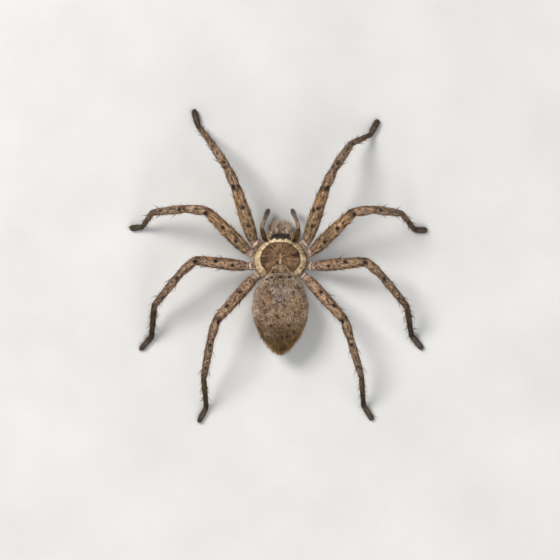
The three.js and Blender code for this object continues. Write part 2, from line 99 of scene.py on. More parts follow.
def through(stations, share):  # a smooth curve through (share, value) stations, as in the solids
    at = np.array(stations, float)
    places, values = at[:, 0], at[:, 1]
    s = np.clip(share, 0, 1)
    order = np.arange(len(at))
    after, before = np.minimum(order + 1, len(at) - 1), np.maximum(order - 1, 0)
    slope = (values[after] - values[before]) / (places[after] - places[before])
    i = np.clip(np.searchsorted(places, s) - 1, 0, len(at) - 2)
    span = places[i + 1] - places[i]
    u = (s - places[i]) / span
    v = 1 - u
    bend = span * u * v * (slope[i] * v - slope[i + 1] * u)
    return values[i] * (1 + 2 * u) * v * v + values[i + 1] * (1 + 2 * v) * u * u + bend


def smoothStep(low, high, value):
    t = np.clip((value - low) / (high - low), 0, 1)
    return t * t * (3 - 2 * t)


def window(value, start, full, ending, gone):  # rises from start to full and falls from ending to gone
    return smoothStep(start, full, value) * (1 - smoothStep(ending, gone, value))


def blendOf(first, second, share):  # two colours, or two fields of them
    share = np.asarray(share)[..., None]
    return np.asarray(first) * (1 - share) + np.asarray(second) * share


# large numbers that scatter the noise
noiseSteps = (374761393, 668265263, 2147483629, 951274213, 1274126177)


def grain(points, scale, seed):  # smooth noise from 0 to 1, scale is in waves per mm
    alongX, alongY, alongZ, bySeed, scatter = noiseSteps
    p = np.asarray(points, float) * scale + 500
    cell = np.floor(p).astype(np.int64)
    f = p - cell
    f = f * f * (3 - 2 * f)
    total = 0
    for corner in np.ndindex(2, 2, 2):
        c = cell + corner
        h = c[..., 0] * alongX + c[..., 1] * alongY + c[..., 2] * alongZ + seed * bySeed
        h = ((h & 0xFFFFFFFF) ^ ((h & 0xFFFFFFFF) >> 13)) * scatter & 0xFFFFFFFF
        h = (h ^ (h >> 16)) & 0xFFFF
        total = total + np.prod(np.where(corner, f, 1 - f), axis=-1) * (h / 65535)
    return total


def unit(vectors):
    return vectors / np.maximum(np.linalg.norm(vectors, axis=-1, keepdims=True), 1e-9)


def smoothed(values, width):  # running mean with a bell weight; ends are carried straight on
    reach = int(3 * width) + 1
    bell = np.exp(-0.5 * (np.arange(-reach, reach + 1) / width) ** 2)
    bell /= bell.sum()
    head = 2 * values[0] - values[reach:0:-1]
    tail = 2 * values[-1] - values[-2 : -reach - 2 : -1]
    longer = np.concatenate([head, values, tail])
    flat = longer.reshape(len(longer), -1)
    rows = [np.convolve(flat[:, k], bell, "valid") for k in range(flat.shape[1])]
    return np.stack(rows, 1).reshape(values.shape)


def lengthAlong(line):  # mm from the start of a line to each of its points
    return np.concatenate([[0], np.cumsum(np.linalg.norm(np.diff(line, axis=0), axis=1))])


# shells of skin: closed grids that carry their colour and the lie of their coat
shells = []


def carriedAhead(rings, values, reach):  # what the values are a little further down each column
    steps = np.linalg.norm(np.diff(rings, axis=0), axis=-1)
    along = np.concatenate([np.zeros((1, rings.shape[1])), np.cumsum(steps, axis=0)])
    ahead = np.empty_like(values)
    for j in range(rings.shape[1]):
        for k in range(values.shape[-1]):
            ahead[:, j, k] = np.interp(along[:, j] + reach, along[:, j], values[:, j, k])
    return ahead


def addShell(
    rings, coat, cell, tint, lie, fur=1.0, thick=1.0, erect=0.0, flow=None, specks=0.5, reach=0.16,
):
    rows, cols = rings.shape[:2]
    count = rows * cols
    # colour, how strong its specks are, and where the specks' pattern is read
    look = np.empty((rows, cols, 7))
    look[..., :3] = tint
    look[..., 3] = specks
    look[..., 4:] = rings if flow is None else flow

    def field(value, width):
        full = np.broadcast_to(
            np.asarray(value, float), (rows, cols, width) if width > 1 else (rows, cols),
        )
        full = full.reshape(rows, cols, -1)
        return np.concatenate([full.reshape(count, -1), full[:1].mean(1), full[-1:].mean(1)])

    points = field(rings, 3)
    i, j = np.meshgrid(np.arange(rows - 1), np.arange(cols), indexing="ij")
    i, j = i.ravel(), j.ravel()
    k = (j + 1) % cols
    quads = np.stack([i * cols + j, (i + 1) * cols + j, (i + 1) * cols + k, i * cols + k], 1)
    u0, u1, v0, v1 = j / cols, (j + 1) / cols, (i + 1) / (rows + 1), (i + 2) / (rows + 1)
    quadUv = np.stack([u0, v0, u0, v1, u1, v1, u1, v0], 1).reshape(-1, 4, 2)
    j = np.arange(cols)
    k = (j + 1) % cols
    last = (rows - 1) * cols
    first, final = np.full(cols, count), np.full(cols, count + 1)
    caps = np.concatenate([np.stack([first, j, k], 1), np.stack([final, last + k, last + j], 1)])
    low, high = 1 / (rows + 1), rows / (rows + 1)
    mid = (j + 0.5) / cols
    near = np.stack([mid, 0 * mid, j / cols, 0 * mid + low, (j + 1) / cols, 0 * mid + low], 1)
    far = np.stack([mid, 0 * mid + 1, (j + 1) / cols, 0 * mid + high, j / cols, 0 * mid + high], 1)
    capUv = np.concatenate([near, far]).reshape(-1, 3, 2)
    a, b, c = points[caps].transpose(1, 0, 2)
    d, e, f, g = points[quads].transpose(1, 0, 2)
    volume = sum(
        np.einsum("ij,ij->", p, np.cross(q, r)) for p, q, r in ((a, b, c), (d, e, f), (d, f, g))
    )
    if volume < 0:
        quads, quadUv, caps, capUv = quads[:, ::-1], quadUv[:, ::-1], caps[:, ::-1], capUv[:, ::-1]
    x0, y0, x1, y1 = cell
    uvs = np.concatenate([quadUv.reshape(-1, 2), capUv.reshape(-1, 2)]) * (x1 - x0, y1 - y0) + (x0, y0)
    shells.append({
        "coat": coat, "points": points, "faces": quads.tolist() + caps.tolist(), "uvs": uvs,
        "look": field(look, 7), "lookAhead": field(carriedAhead(rings, look, reach), 7),
        "lie": field(lie, 3), "fur": field(fur, 1), "thick": field(thick, 1), "erect": field(erect, 1),
    })


def addBareShell(rings, tint=(0.02, 0.01, 0.01)):  # a form with a material of its own, without a coat
    addShell(rings, "none", (0, 0, 1, 1), tint, (0, 0, 1))


def tubeAxes(centres):
    along = unit(np.gradient(centres, axis=0))
    side = unit(np.cross(along, (0, 0, 1)))
    return along, side, np.cross(side, along)


def tubeRings(centres, wide, tall, cols):  # rings round a line; column 0 is on top
    along, side, up = tubeAxes(centres)
    turn = 2 * np.pi * np.arange(cols) / cols
    rings = centres[:, None] + side[:, None] * (np.sin(turn) * wide[:, None])[..., None]
    rings = rings + up[:, None] * (np.cos(turn) * tall[:, None])[..., None]
    return rings, np.broadcast_to(along[:, None], rings.shape), turn


def roundedEnds(s, radius, start=True):  # closes a tube like a fingertip, at its start only if asked
    share = np.ones_like(s)
    for inwards in [s, s[-1] - s] if start else [s[-1] - s]:
        share = share * np.sqrt(np.clip(1 - (1 - np.clip(inwards / radius, 0, 1)) ** 2, 0.0004, 1))
    return share


def bezier(root, middle, tip, steps):
    t = np.linspace(0, 1, steps)[:, None]
    return (1 - t) ** 2 * root + 2 * t * (1 - t) * middle + t * t * tip


sides = {"left": 1, "right": -1}


def onSide(point, side):
    return np.array(point, float) * (side, 1, 1)


# carapace and head, one shell round the fovea
carapace = {
    "front": -4.75, "rear": 3.4, "halfWidth": 6.1, "rim": 5.0, "top": 8.4, "under": 4.35, "inset": 0.06,
    "ledge": 0.26, "lip": 0.1,
    "outline": [
        (0, 0.48), (0.05, 0.66), (0.15, 0.8), (0.34, 0.95), (0.55, 1), (0.78, 0.92), (0.92, 0.76),
        (1, 0.6),
    ],
    "crest": [(0, 0.62), (0.2, 0.88), (0.45, 1), (0.7, 0.93), (0.9, 0.52), (1, 0.2)],
    "squareness": 2.0,
}
head = {
    "front": -6.45, "rear": 1.2, "halfWidth": 2.75, "rim": 5.6, "top": 8.25,
    "outline": [(0, 0.86), (0.05, 0.97), (0.2, 1), (0.6, 0.8), (1, 0.35)],
    "crest": [(0, 0.42), (0.06, 0.64), (0.18, 0.87), (0.5, 1), (0.8, 0.95), (1, 0.6)],
    "squareness": 2.6,
}
shellGrid = {"centre": -0.8, "around": 180, "topRows": 60, "underRows": 16}
# the pale fold of skin under the rim
roll = {"crease": 0.2, "ends": 0.82, "out": 0.42, "drop": 0.2, "tuck": 0.1}
# the groove in the middle, the depth of the furrows round it, and how softly dome and head meet
fovea = {
    "y": -1.35, "halfLength": 0.55, "halfWidth": 0.15, "depth": 0.2, "furrows": 0.09, "blend": 0.13,
}
eyes = {  # across, along and radius in mm
    "anteriorMedian": (0.55, -6.2, 0.3), "anteriorLateral": (1.42, -6.05, 0.42),
    "posteriorMedian": (0.62, -5.25, 0.3), "posteriorLateral": (1.98, -5.3, 0.38),
}
eyeForm = {"proud": 0.45, "around": 28, "rings": 18}  # proud is the share of an eye that stands out


def eyePlaces():
    return [
        (hand * across, along, radius) for across, along, radius in eyes.values() for hand in (1, -1)
    ]


def halfWidthOf(form, y):
    t = (y - form["front"]) / (form["rear"] - form["front"])
    return np.where((t >= 0) & (t <= 1), form["halfWidth"] * through(form["outline"], t), 0)


def heightOf(form, x, y):
    t = (y - form["front"]) / (form["rear"] - form["front"])
    wide = form["halfWidth"] * through(form["outline"], t)
    across = np.clip(np.abs(x) / wide, 0, 1)
    k = form["squareness"]
    rise = (form["top"] - form["rim"]) * through(form["crest"], t)
    return form["rim"] + rise * (1 - across**k) ** (1 / k) * (t <= 1.02)


def outlineRadius(forms, turn):  # how far each direction from the centre runs inside the outline
    r = np.linspace(0.02, 8, 800)
    x = np.sin(turn)[:, None] * r
    y = shellGrid["centre"] - np.cos(turn)[:, None] * r
    inside = np.max([np.abs(x) < halfWidthOf(form, y) for form in forms], axis=0)
    radius = np.cumprod(inside, axis=1).sum(1) * (r[1] - r[0])
    wrapped = np.concatenate([radius[-12:], radius, radius[:12]])
    return smoothed(wrapped, 1.6)[12:-12]


def carapaceTop(x, y):
    dome, block = heightOf(carapace, x, y), heightOf(head, x, y)
    k = fovea["blend"]
    z = k * np.logaddexp(dome / k, block / k)
    groove = np.exp(-((x / fovea["halfWidth"]) ** 2) - ((y - fovea["y"]) / fovea["halfLength"]) ** 4)
    away = np.hypot(x, y - fovea["y"])
    ray = np.arctan2(x, -(y - fovea["y"]))
    furrow = np.cos(4 * ray + 0.5 * np.pi) ** 8 * window(away, 0.6, 1.6, 3.6, 4.6)
    side = smoothStep(0.5, 1.1, np.abs(x))
    return z - fovea["depth"] * groove - fovea["furrows"] * furrow * side


carapaceColours = {
    "disc": hue(114, 87, 62), "discLight": hue(144, 112, 84), "discDark": hue(70, 51, 36),
    "cream": hue(226, 206, 168), "creamShade": hue(176, 150, 114), "line": hue(48, 34, 25),
    "rim": hue(136, 114, 94), "fovea": hue(172, 136, 94), "face": hue(150, 128, 106),
    "faceDark": hue(84, 65, 52), "under": hue(120, 98, 76), "spot": hue(32, 23, 18),
    "rear": hue(104, 68, 32), "wedge": hue(172, 146, 120), "stripe": hue(190, 168, 146),
    "roll": hue(158, 138, 122), "rollShade": hue(96, 78, 64), "faceLight": hue(186, 160, 120),
    "band": hue(226, 209, 172), "eyeRow": hue(50, 38, 31),
}
discEdge = [  # degrees from straight ahead, mm from the middle of the disc to the cream round it
    (0, 3.66), (18, 3.78), (37, 4.08), (47, 4.03), (58, 4.2), (69, 4.36), (87, 4.5), (96, 4.64),
    (104, 4.5), (112, 4.46), (122, 4.3), (128, 4.25), (133, 4.4), (137, 4.7), (141, 5.4), (180, 5.6),
]
creamSpan = {  # mm inside the rim, degrees from straight ahead, and mm along and across
    "rimInside": 0.06, "ringOutside": 0.2, "ringEnds": 142, "bandFront": -5.1, "bandHalf": 2.6,
}
rimSides = (36, 41)  # degrees from straight ahead, where the rim comes out from the head
carapaceStrokes = [  # colour, half width in mm, strength, line; the left side's are positive
    ("cream", 0.24, 1, [(4.0, 2.9), (3.2, 2.9), (2.6, 2.72), (2.2, 2.4), (1.8, 2.0), (1.55, 1.35)]),
    ("cream", 0.22, 1, [(-1.48, 1.5), (-1.95, 2.1), (-2.4, 2.45), (-3.1, 2.75), (-3.9, 2.9)]),
    ("discDark", 0.12, 0.7, [(1.42, 0.6), (1.9, 1.2), (2.05, 1.75)]),
    ("discDark", 0.12, 0.6, [(-1.3, 0.6), (-1.7, 1.3), (-2.3, 2.1)]),
    ("stripe", 0.11, 0.7, [(0.1, -0.5), (0.16, 0.25)]),
    ("stripe", 0.11, 0.6, [(-0.1, -0.55), (-0.12, 0.45)]),
    ("fovea", 0.24, 0.8, [(-0.02, -1.75), (0, -0.95)]),
    ("line", 0.09, 0.8, [(-4.3, 1.3), (-4.9, 1.35), (-5.5, 1.7)]),
    ("line", 0.3, 0.6, [(-5.25, 1.8), (-4.95, 2.5)]),
    ("rear", 0.16, 0.9, [(1.7, 2.2), (1.2, 2.4), (0.6, 2.48), (-0.6, 2.48), (-1.2, 2.4), (-1.7, 2.2)]),
    ("line", 0.1, 0.7, [(1.9, 2.5), (1.2, 2.72), (0.6, 2.8), (-0.6, 2.8), (-1.2, 2.72), (-1.9, 2.5)]),
    ("spot", 0.2, 0.9, [(2.15, -5.4), (1.75, -5.6), (1.35, -5.85)]),
    ("spot", 0.2, 0.9, [(-2.15, -5.4), (-1.75, -5.6), (-1.35, -5.85)]),
    (
        "eyeRow", 0.2, 0.8,
        [(1.8, -5.65), (1.3, -5.6), (0.6, -5.5), (-0.6, -5.5), (-1.3, -5.6), (-1.8, -5.65)],
    ),
    ("eyeRow", 0.2, 0.6, [(0.9, -5.9), (-0.9, -5.9)]),
    ("faceLight", 0.3, 0.8, [(2.4, -5.15), (2.6, -6.2)]),
    ("faceLight", 0.3, 0.8, [(-2.4, -5.15), (-2.6, -6.2)]),
]
carapaceDots = [  # dark dots: across, along, half width, half length
    (0.69, -1.72, 0.16, 0.2), (-0.48, -1.66, 0.16, 0.18), (0.8, -0.85, 0.2, 0.18),
    (-0.76, -0.93, 0.26, 0.16), (0.66, 0.05, 0.18, 0.4), (-0.52, 0.3, 0.15, 0.26),
    (-0.95, 0.55, 0.16, 0.18), (1.26, -3.47, 0.22, 0.22), (-1.11, -3.3, 0.22, 0.2),
    (0, -2.9, 0.14, 0.14), (1.2, 1.75, 0.2, 0.24), (-1.2, 1.85, 0.28, 0.24), (3.95, -2.3, 0.16, 0.22),
    (4.25, -0.9, 0.14, 0.3), (3.7, 1.0, 0.4, 0.26), (-4.3, -1.0, 0.16, 0.36), (-3.85, 0.75, 0.3, 0.24),
    (2.74, -4.72, 0.2, 0.2), (-2.74, -4.72, 0.2, 0.2),
]


def strokeMask(x, y, line, half, soft=0.4):  # one on a bent line and nothing beyond its half width
    nearest = np.full(np.shape(x), 99.0)
    for (x0, y0), (x1, y1) in zip(line, line[1:]):
        wide, long = x1 - x0, y1 - y0
        t = np.clip(((x - x0) * wide + (y - y0) * long) / (wide * wide + long * long), 0, 1)
        nearest = np.minimum(nearest, np.hypot(x - x0 - t * wide, y - y0 - t * long))
    return 1 - smoothStep(half * (1 - soft), half * (1 + soft), nearest)


def discRays(x, y):  # where radial patterns are read: round a circle, and slowly outwards
    ray = np.arctan2(x, -(y - fovea["y"]))
    away = np.hypot(x, y - fovea["y"])
    return np.stack([5.5 * np.cos(ray), 5.5 * np.sin(ray), 0.35 * away], -1)


def carapaceTint(x, y, z, edge):  # edge is how many mm inside the rim a point lies
    c, span, centre = carapaceColours, creamSpan, shellGrid["centre"]
    place = np.stack([x, y, 0 * x], -1)
    turn = np.abs(np.degrees(np.arctan2(x, -(y - centre))))
    rays = 0.6 * grain(discRays(x, y), 0.9, 3) + 0.4 * grain(discRays(x, y), 2.0, 4)
    rays = smoothStep(0.25, 0.75, 0.7 * rays + 0.3 * grain(place, 1.6, 5))
    tint = blendOf(blendOf(c["discDark"], c["discLight"], rays), c["disc"], 0.35)
    ragged = 0.16 * (grain(place, 1.5, 6) - 0.5) + 0.12 * (grain(place, 4.0, 7) - 0.5)
    beyond = np.hypot(x, y - centre) - np.interp(turn, *zip(*discEdge)) - ragged
    tint = blendOf(tint, c["discDark"], 0.75 * np.exp(-(((beyond + 0.14) / 0.15) ** 2)) * (turn < 130))
    inward = 1 - smoothStep(-0.1, 0.25, np.abs(x) - 1.25 - 0.5 * (y - 0.9))
    wedge = inward * window(y, 0.5, 1.0, 2.3, 2.45)
    tint = blendOf(tint, c["wedge"], 0.85 * wedge)

    # the face, then the cream ring and the cream band behind the eyes
    mottle = 0.5 * grain(place, 1.7, 11) + 0.5 * grain(place, 3.6, 12)
    face = blendOf(c["faceDark"], c["face"], smoothStep(0.2, 0.7, mottle))
    mottle = 0.6 * grain(place, 2.6, 8) + 0.4 * grain(place, 5.0, 9)
    cream = blendOf(c["creamShade"], c["cream"], smoothStep(0.1, 0.62, mottle))
    # painted light: the cream grows paler towards the rear, over the hind slope that lies in shade
    cream = cream * (1 + 0.35 * smoothStep(0.8, 2.6, y))[..., None]
    ring = smoothStep(span["ringOutside"] - 0.05, span["ringOutside"] + 0.04, edge)
    ring = ring * (1 - smoothStep(span["ringEnds"] - 3, span["ringEnds"] + 1, turn))
    scallop = 0.1 * np.cos(x * 4.6) + 0.1 * (grain(place, 2.5, 10) - 0.5)
    front = smoothStep(span["bandFront"] - 0.05, span["bandFront"] + 0.08, y + scallop)
    band = front * (1 - smoothStep(span["bandHalf"], span["bandHalf"] + 0.12, np.abs(x)))
    bandTint = c["band"] * (0.8 + 0.4 * grain(place, 4.0, 14))[..., None]
    cream = blendOf(cream, bandTint, band * (1 - smoothStep(-4.7, -4.2, y)))
    inBand = np.abs(x) < span["bandHalf"] + 0.1
    pale = smoothStep(-0.04, 0.07, beyond) * np.where(inBand, np.maximum(band, ring * (y > -4.5)), ring)
    skull = (1 - front) * (y < -4)
    tint = blendOf(blendOf(tint, face, skull), cream, pale)

    # the rim and the dark line inside it
    side = smoothStep(*rimSides, turn)
    inside = smoothStep(span["rimInside"], span["rimInside"] + 0.05, edge)
    tint = blendOf(tint, c["rim"], side * (1 - inside))
    line = inside * (1 - smoothStep(span["ringOutside"] - 0.06, span["ringOutside"] + 0.02, edge))
    tint = blendOf(tint, c["line"], 0.85 * side * line)
    slope = smoothStep(0.8, 2.3, y) * side * (1 - pale)  # painted light: the hind slope, which the abdomen shades, is brightened, most in the middle
    tint = tint * (1 + slope * (0.6 + 0.4 * np.exp(-((x / 1.6) ** 4))))[..., None]

    for name, half, strength, path in carapaceStrokes:
        tint = blendOf(tint, c[name], strength * strokeMask(x, y, path, half))
    for dotX, dotY, wide, long in carapaceDots:
        dot = np.exp(-(np.hypot((x - dotX) / wide, (y - dotY) / long) ** 4))
        tint = blendOf(tint, c["spot"], 0.85 * dot)
    for across, along, radius in eyePlaces():
        ringed = np.exp(-((np.hypot(x - across, y - along) / (radius * 1.2)) ** 6))
        tint = blendOf(tint, c["spot"], 0.9 * ringed)

    # the fold under the rim, and the underside
    outside = smoothStep(-0.04, -0.14, edge) * side
    specks = (0.8 - 0.4 * pale - 0.35 * skull) * (1 - 0.85 * outside)
    fold = blendOf(c["roll"], c["rollShade"], smoothStep(0.35, 0.75, grain(place, 3.2, 13)))
    # painted shade: a dark line in the crease where the rim meets the fold under it
    tint = blendOf(tint, c["line"], 0.8 * side * smoothStep(0.02, -0.03, edge) * (1 - outside))
    return blendOf(blendOf(tint, fold, outside), c["under"], 1 - smoothStep(4.4, 4.55, z)), specks


def addCarapace():
    g, c, centre = shellGrid, carapace, shellGrid["centre"]
    turn = 2 * np.pi * np.arange(g["around"]) / g["around"]
    radius = outlineRadius([carapace, head], turn) - c["inset"]
    domeRadius = outlineRadius([carapace], turn)
    front = np.minimum(turn, 2 * np.pi - turn)
    rim = head["rim"] + (c["rim"] - head["rim"]) * smoothStep(0.42, 0.75, front)
    ledge = c["ledge"] * smoothStep(0.58, 0.75, front)  # the thin margin that stands out round the dome
    share = np.sin(0.5 * np.pi * (np.arange(g["topRows"]) + 1) / (g["topRows"] + 0.6))
    rho = share[:, None] * np.ones(g["around"])
    x, y = np.sin(turn) * radius * rho, centre - np.cos(turn) * radius * rho
    grown = np.clip(rho * radius / (radius - ledge), 0, 1)
    domeX, domeY = np.sin(turn) * radius * grown, centre - np.cos(turn) * radius * grown
    fall = (1 - grown**16) ** 0.4
    z = rim + fall * (carapaceTop(domeX, domeY) - c["inset"] - rim)
    z = z + c["lip"] * np.exp(-((((1 - rho) * radius - 0.06) / 0.05) ** 2)) * (ledge > 0.01)
    z = z + 0.02 * (grain(np.stack([x, y, z], -1), 1.3, 11) - 0.5)
    top = np.stack([x, y, z], -1)

    down = np.linspace(0.06, 1, g["underRows"])[:, None]  # from the rim to the flat underside
    crease, ends = roll["crease"], roll["ends"]
    folded = smoothStep(0.62, 0.8, front) * (1 - 0.55 * smoothStep(2.3, 2.6, front))
    swing = np.clip((down - crease) / (ends - crease), 0, 1)
    outward = roll["out"] * np.sin(np.pi * swing) ** 0.7 * folded
    outward = outward - roll["tuck"] * np.sin(np.pi * np.clip(down / 0.3, 0, 1)) * folded
    reach = (radius + outward) * (1 - 0.5 * np.clip((down - 0.8) / 0.2, 0, 1) ** 1.2)
    fallen = np.interp(down, [0, crease, 0.5, ends, 1], [0, roll["drop"], 0.3, 0.65, 0.65]) / 0.65
    level = rim - (rim - c["under"]) * fallen + 0 * reach
    rings = np.concatenate(
        [top, np.stack([np.sin(turn) * reach, centre - np.cos(turn) * reach, level], -1)]
    )

    x, y, z = np.moveaxis(rings, -1, 0)
    edge = domeRadius - c["inset"] - np.hypot(x, y - centre)
    tint, specks = carapaceTint(x, y, z, edge)
    lie = unit(np.stack([x, y - fovea["y"], 0.15 + 0 * x], -1))
    lie = unit(0.5 * lie + 0.5 * unit(np.gradient(rings, axis=0)))
    bare = np.zeros(x.shape)
    for across, along, size in eyePlaces():
        bare = np.maximum(bare, np.exp(-((np.hypot(x - across, y - along) / (size * 1.25)) ** 8)))
    above = smoothStep(4.4, 4.9, z)
    skull = 1 - smoothStep(-5.4, -4.9, y)
    margin = (edge < creamSpan["ringOutside"] - 0.06) * (front > 0.7)
    fur = 0.8 + 0.1 * skull - 0.35 * margin
    crown = 1.4 * np.exp(-((x / 1.8) ** 2)) * smoothStep(-1.5, -4.0, y)
    erect = (0.2 + crown + 0.8 * skull) * (1 - bare) * above * (1 - margin)
    thick = (1 - bare) * (0.25 + 0.75 * above) * (1 - 0.7 * margin)
    addShell(rings, "head", (0, 0, 0.62, 1), tint, lie, fur, thick, erect, discRays(x, y), specks, 0.12)


def eyeSpot(name, side):
    across, along, radius = eyes[name]
    surface = float(heightOf(head, np.array(across), np.array(along)))
    return np.array([side * across, along, surface - radius * (1 - 2 * eyeForm["proud"])]), radius


# sternum, mouthparts and waist, under the head
underBody = {
    "sternum": {"front": -4.0, "rear": 2.5, "halfWidth": 3.3, "z": 4.05, "halfHeight": 1.45},
    "sternumOutline": [(0, 0.5), (0.15, 0.8), (0.45, 1), (0.75, 0.85), (1, 0.4)],
    "maxilla": {"root": (2.0, -3.0, 3.5), "tip": (1.05, -6.1, 3.2), "tall": 0.55},
    "maxillaWidth": [(0, 0.68), (0.5, 0.72), (0.85, 0.9), (1, 0.66)],
    "labium": {"root": (0, -3.4, 3.2), "tip": (0, -5.3, 3.2), "wide": 0.72, "tall": 0.45},
    "waist": {"root": (0, 2.2, 5.1), "tip": (0, 5.2, 5.1), "radius": 0.8},
    "colour": hue(104, 84, 64), "lipColour": hue(84, 58, 42), "tipColour": hue(168, 140, 112),
}


def addUnderBody():
    u = underBody
    s, m, b, w = u["sternum"], u["maxilla"], u["labium"], u["waist"]
    t = np.linspace(0, 1, 26)
    centres = np.stack([0 * t, s["front"] + (s["rear"] - s["front"]) * t, s["z"] + 0 * t], -1)
    ends = roundedEnds(t * (s["rear"] - s["front"]), 0.7)
    wide = s["halfWidth"] * through(u["sternumOutline"], t) * ends
    rings, lie, _ = tubeRings(centres, wide, s["halfHeight"] * ends, 40)
    speckle = grain(rings, 2.2, 12)[..., None]
    addShell(rings, "head", (0.64, 0, 0.8, 0.3), u["colour"] * (0.8 + 0.5 * speckle), lie, 0.8, 0.8, 0.6)
    t = np.linspace(0, 1, 18)
    for side in sides.values():
        centres = np.linspace(onSide(m["root"], side), onSide(m["tip"], side), 18)
        ends = roundedEnds(t * 3.2, 0.45)
        rings, lie, _ = tubeRings(centres, through(u["maxillaWidth"], t) * ends, m["tall"] * ends, 24)
        tint = blendOf(u["lipColour"], u["tipColour"], smoothStep(0.75, 1, t)[:, None] * np.ones(24))
        row = 0.0 if side > 0 else 0.16
        addShell(rings, "head", (0.82, row, 0.98, row + 0.14), tint, lie, 0.7, 0.5, 0.6)
    ends = roundedEnds(np.linspace(0, 1.9, 12), 0.4)
    labium = tubeRings(np.linspace(b["root"], b["tip"], 12), b["wide"] * ends, b["tall"] * ends, 20)
    even = np.full(10, w["radius"])
    waist = tubeRings(np.linspace(w["root"], w["tip"], 10), even, even, 24)
    for rings, lie, _ in (labium, waist):
        addShell(rings, "bare", (0, 0, 1, 1), u["lipColour"], lie)


# abdomen and spinnerets
abdomen = {
    "front": 2.85, "rear": 20.0, "halfWidth": 6.35, "halfHeight": 4.6, "frontZ": 6.7, "rearZ": 5.6,
    "widestAt": 0.45, "frontBlunt": 0.38, "rearBlunt": 0.56, "inset": 0.12, "frontInset": 0.03,
    "rows": 120, "around": 132,
}
# mm along, where a colour takes over
abdomenZones = {"front": (4, 9), "rear": (10.5, 17.2), "tip": (16.8, 20.0)}
abdomenColours = {
    "front": hue(166, 146, 124), "middle": hue(155, 130, 108), "cool": hue(146, 131, 127),
    "rear": hue(122, 96, 65), "tip": hue(122, 92, 54), "margin": hue(196, 178, 158),
    "speckle": hue(66, 48, 35), "pale": hue(200, 178, 152), "orange": hue(172, 142, 106),
    "spot": hue(22, 16, 13), "grey": hue(78, 66, 62), "red": hue(84, 56, 44), "under": hue(126, 106, 86),
}
abdomenDots = [  # colour, across, along, half width, half length, strength
    ("spot", 3.62, 9.19, 0.26, 0.26, 1), ("spot", -2.96, 6.68, 0.24, 0.24, 1),
    ("spot", -2.7, 7.08, 0.22, 0.18, 0.9), ("grey", 2.98, 6.62, 0.3, 0.26, 0.8),
    ("grey", 2.25, 6.88, 0.3, 0.3, 0.8), ("spot", 2.65, 4.97, 0.22, 0.18, 0.9),
    ("spot", 2.91, 3.91, 0.34, 0.2, 0.95), ("spot", 1.99, 3.6, 0.34, 0.2, 0.95),
    ("spot", -2.04, 3.5, 0.34, 0.24, 1), ("spot", 0, 3.5, 0.5, 0.17, 0.9),
    ("spot", 0.54, 5.17, 0.2, 0.17, 0.8), ("spot", -0.72, 5.1, 0.2, 0.17, 0.8),
    ("grey", 1.06, 5.83, 0.22, 0.2, 0.8), ("grey", 0.14, 9.0, 0.22, 0.2, 0.9),
    ("grey", 0.67, 9.03, 0.2, 0.18, 0.8), ("spot", 0.8, 11.96, 0.26, 0.24, 0.75),
    ("spot", -0.65, 12.1, 0.24, 0.24, 0.75), ("spot", -3.23, 12.1, 0.26, 0.24, 0.8),
    ("spot", 1.99, 14.27, 0.3, 0.3, 0.9), ("spot", -1.97, 14.2, 0.3, 0.3, 0.9),
    ("red", 0.14, 14.9, 0.9, 0.17, 0.8), ("red", 0.14, 15.6, 1.1, 0.2, 0.85),
    ("spot", 1.2, 16.45, 0.24, 0.22, 0.8), ("spot", -1.3, 16.6, 0.24, 0.22, 0.8),
    ("spot", 1.99, 16.85, 0.24, 0.2, 0.7),
]
abdomenPatches = [  # colour, across, along, half width, half length, strength
    ("cool", 0, 7.2, 2.4, 2.4, 0.85), ("orange", 3.1, 8.0, 1.3, 2.2, 0.5),
    ("orange", -3.3, 9.0, 1.4, 2.2, 0.45), ("orange", 0, 11.7, 1.6, 0.9, 0.45),
    ("margin", 3.4, 4.4, 1.7, 1.3, 0.85), ("margin", -3.4, 4.2, 1.5, 1.0, 0.4),
    ("pale", -1.9, 12.9, 1.2, 1.1, 0.3), ("pale", 2.4, 12.2, 1.1, 1.1, 0.3),
]
marginPaleAndLit = {"side": (0.8, 0.3), "shoulder": (1, 0.45)}  # how pale the margin is, left and right: its own pale colour, and painted light makes the left side, towards the lamps, paler than the right


def abdomenSwell(t):
    a = abdomen
    skew = math.log(0.5) / math.log(a["widestAt"])
    return np.sin(np.pi * t**skew) ** np.where(t < a["widestAt"], a["frontBlunt"], a["rearBlunt"])


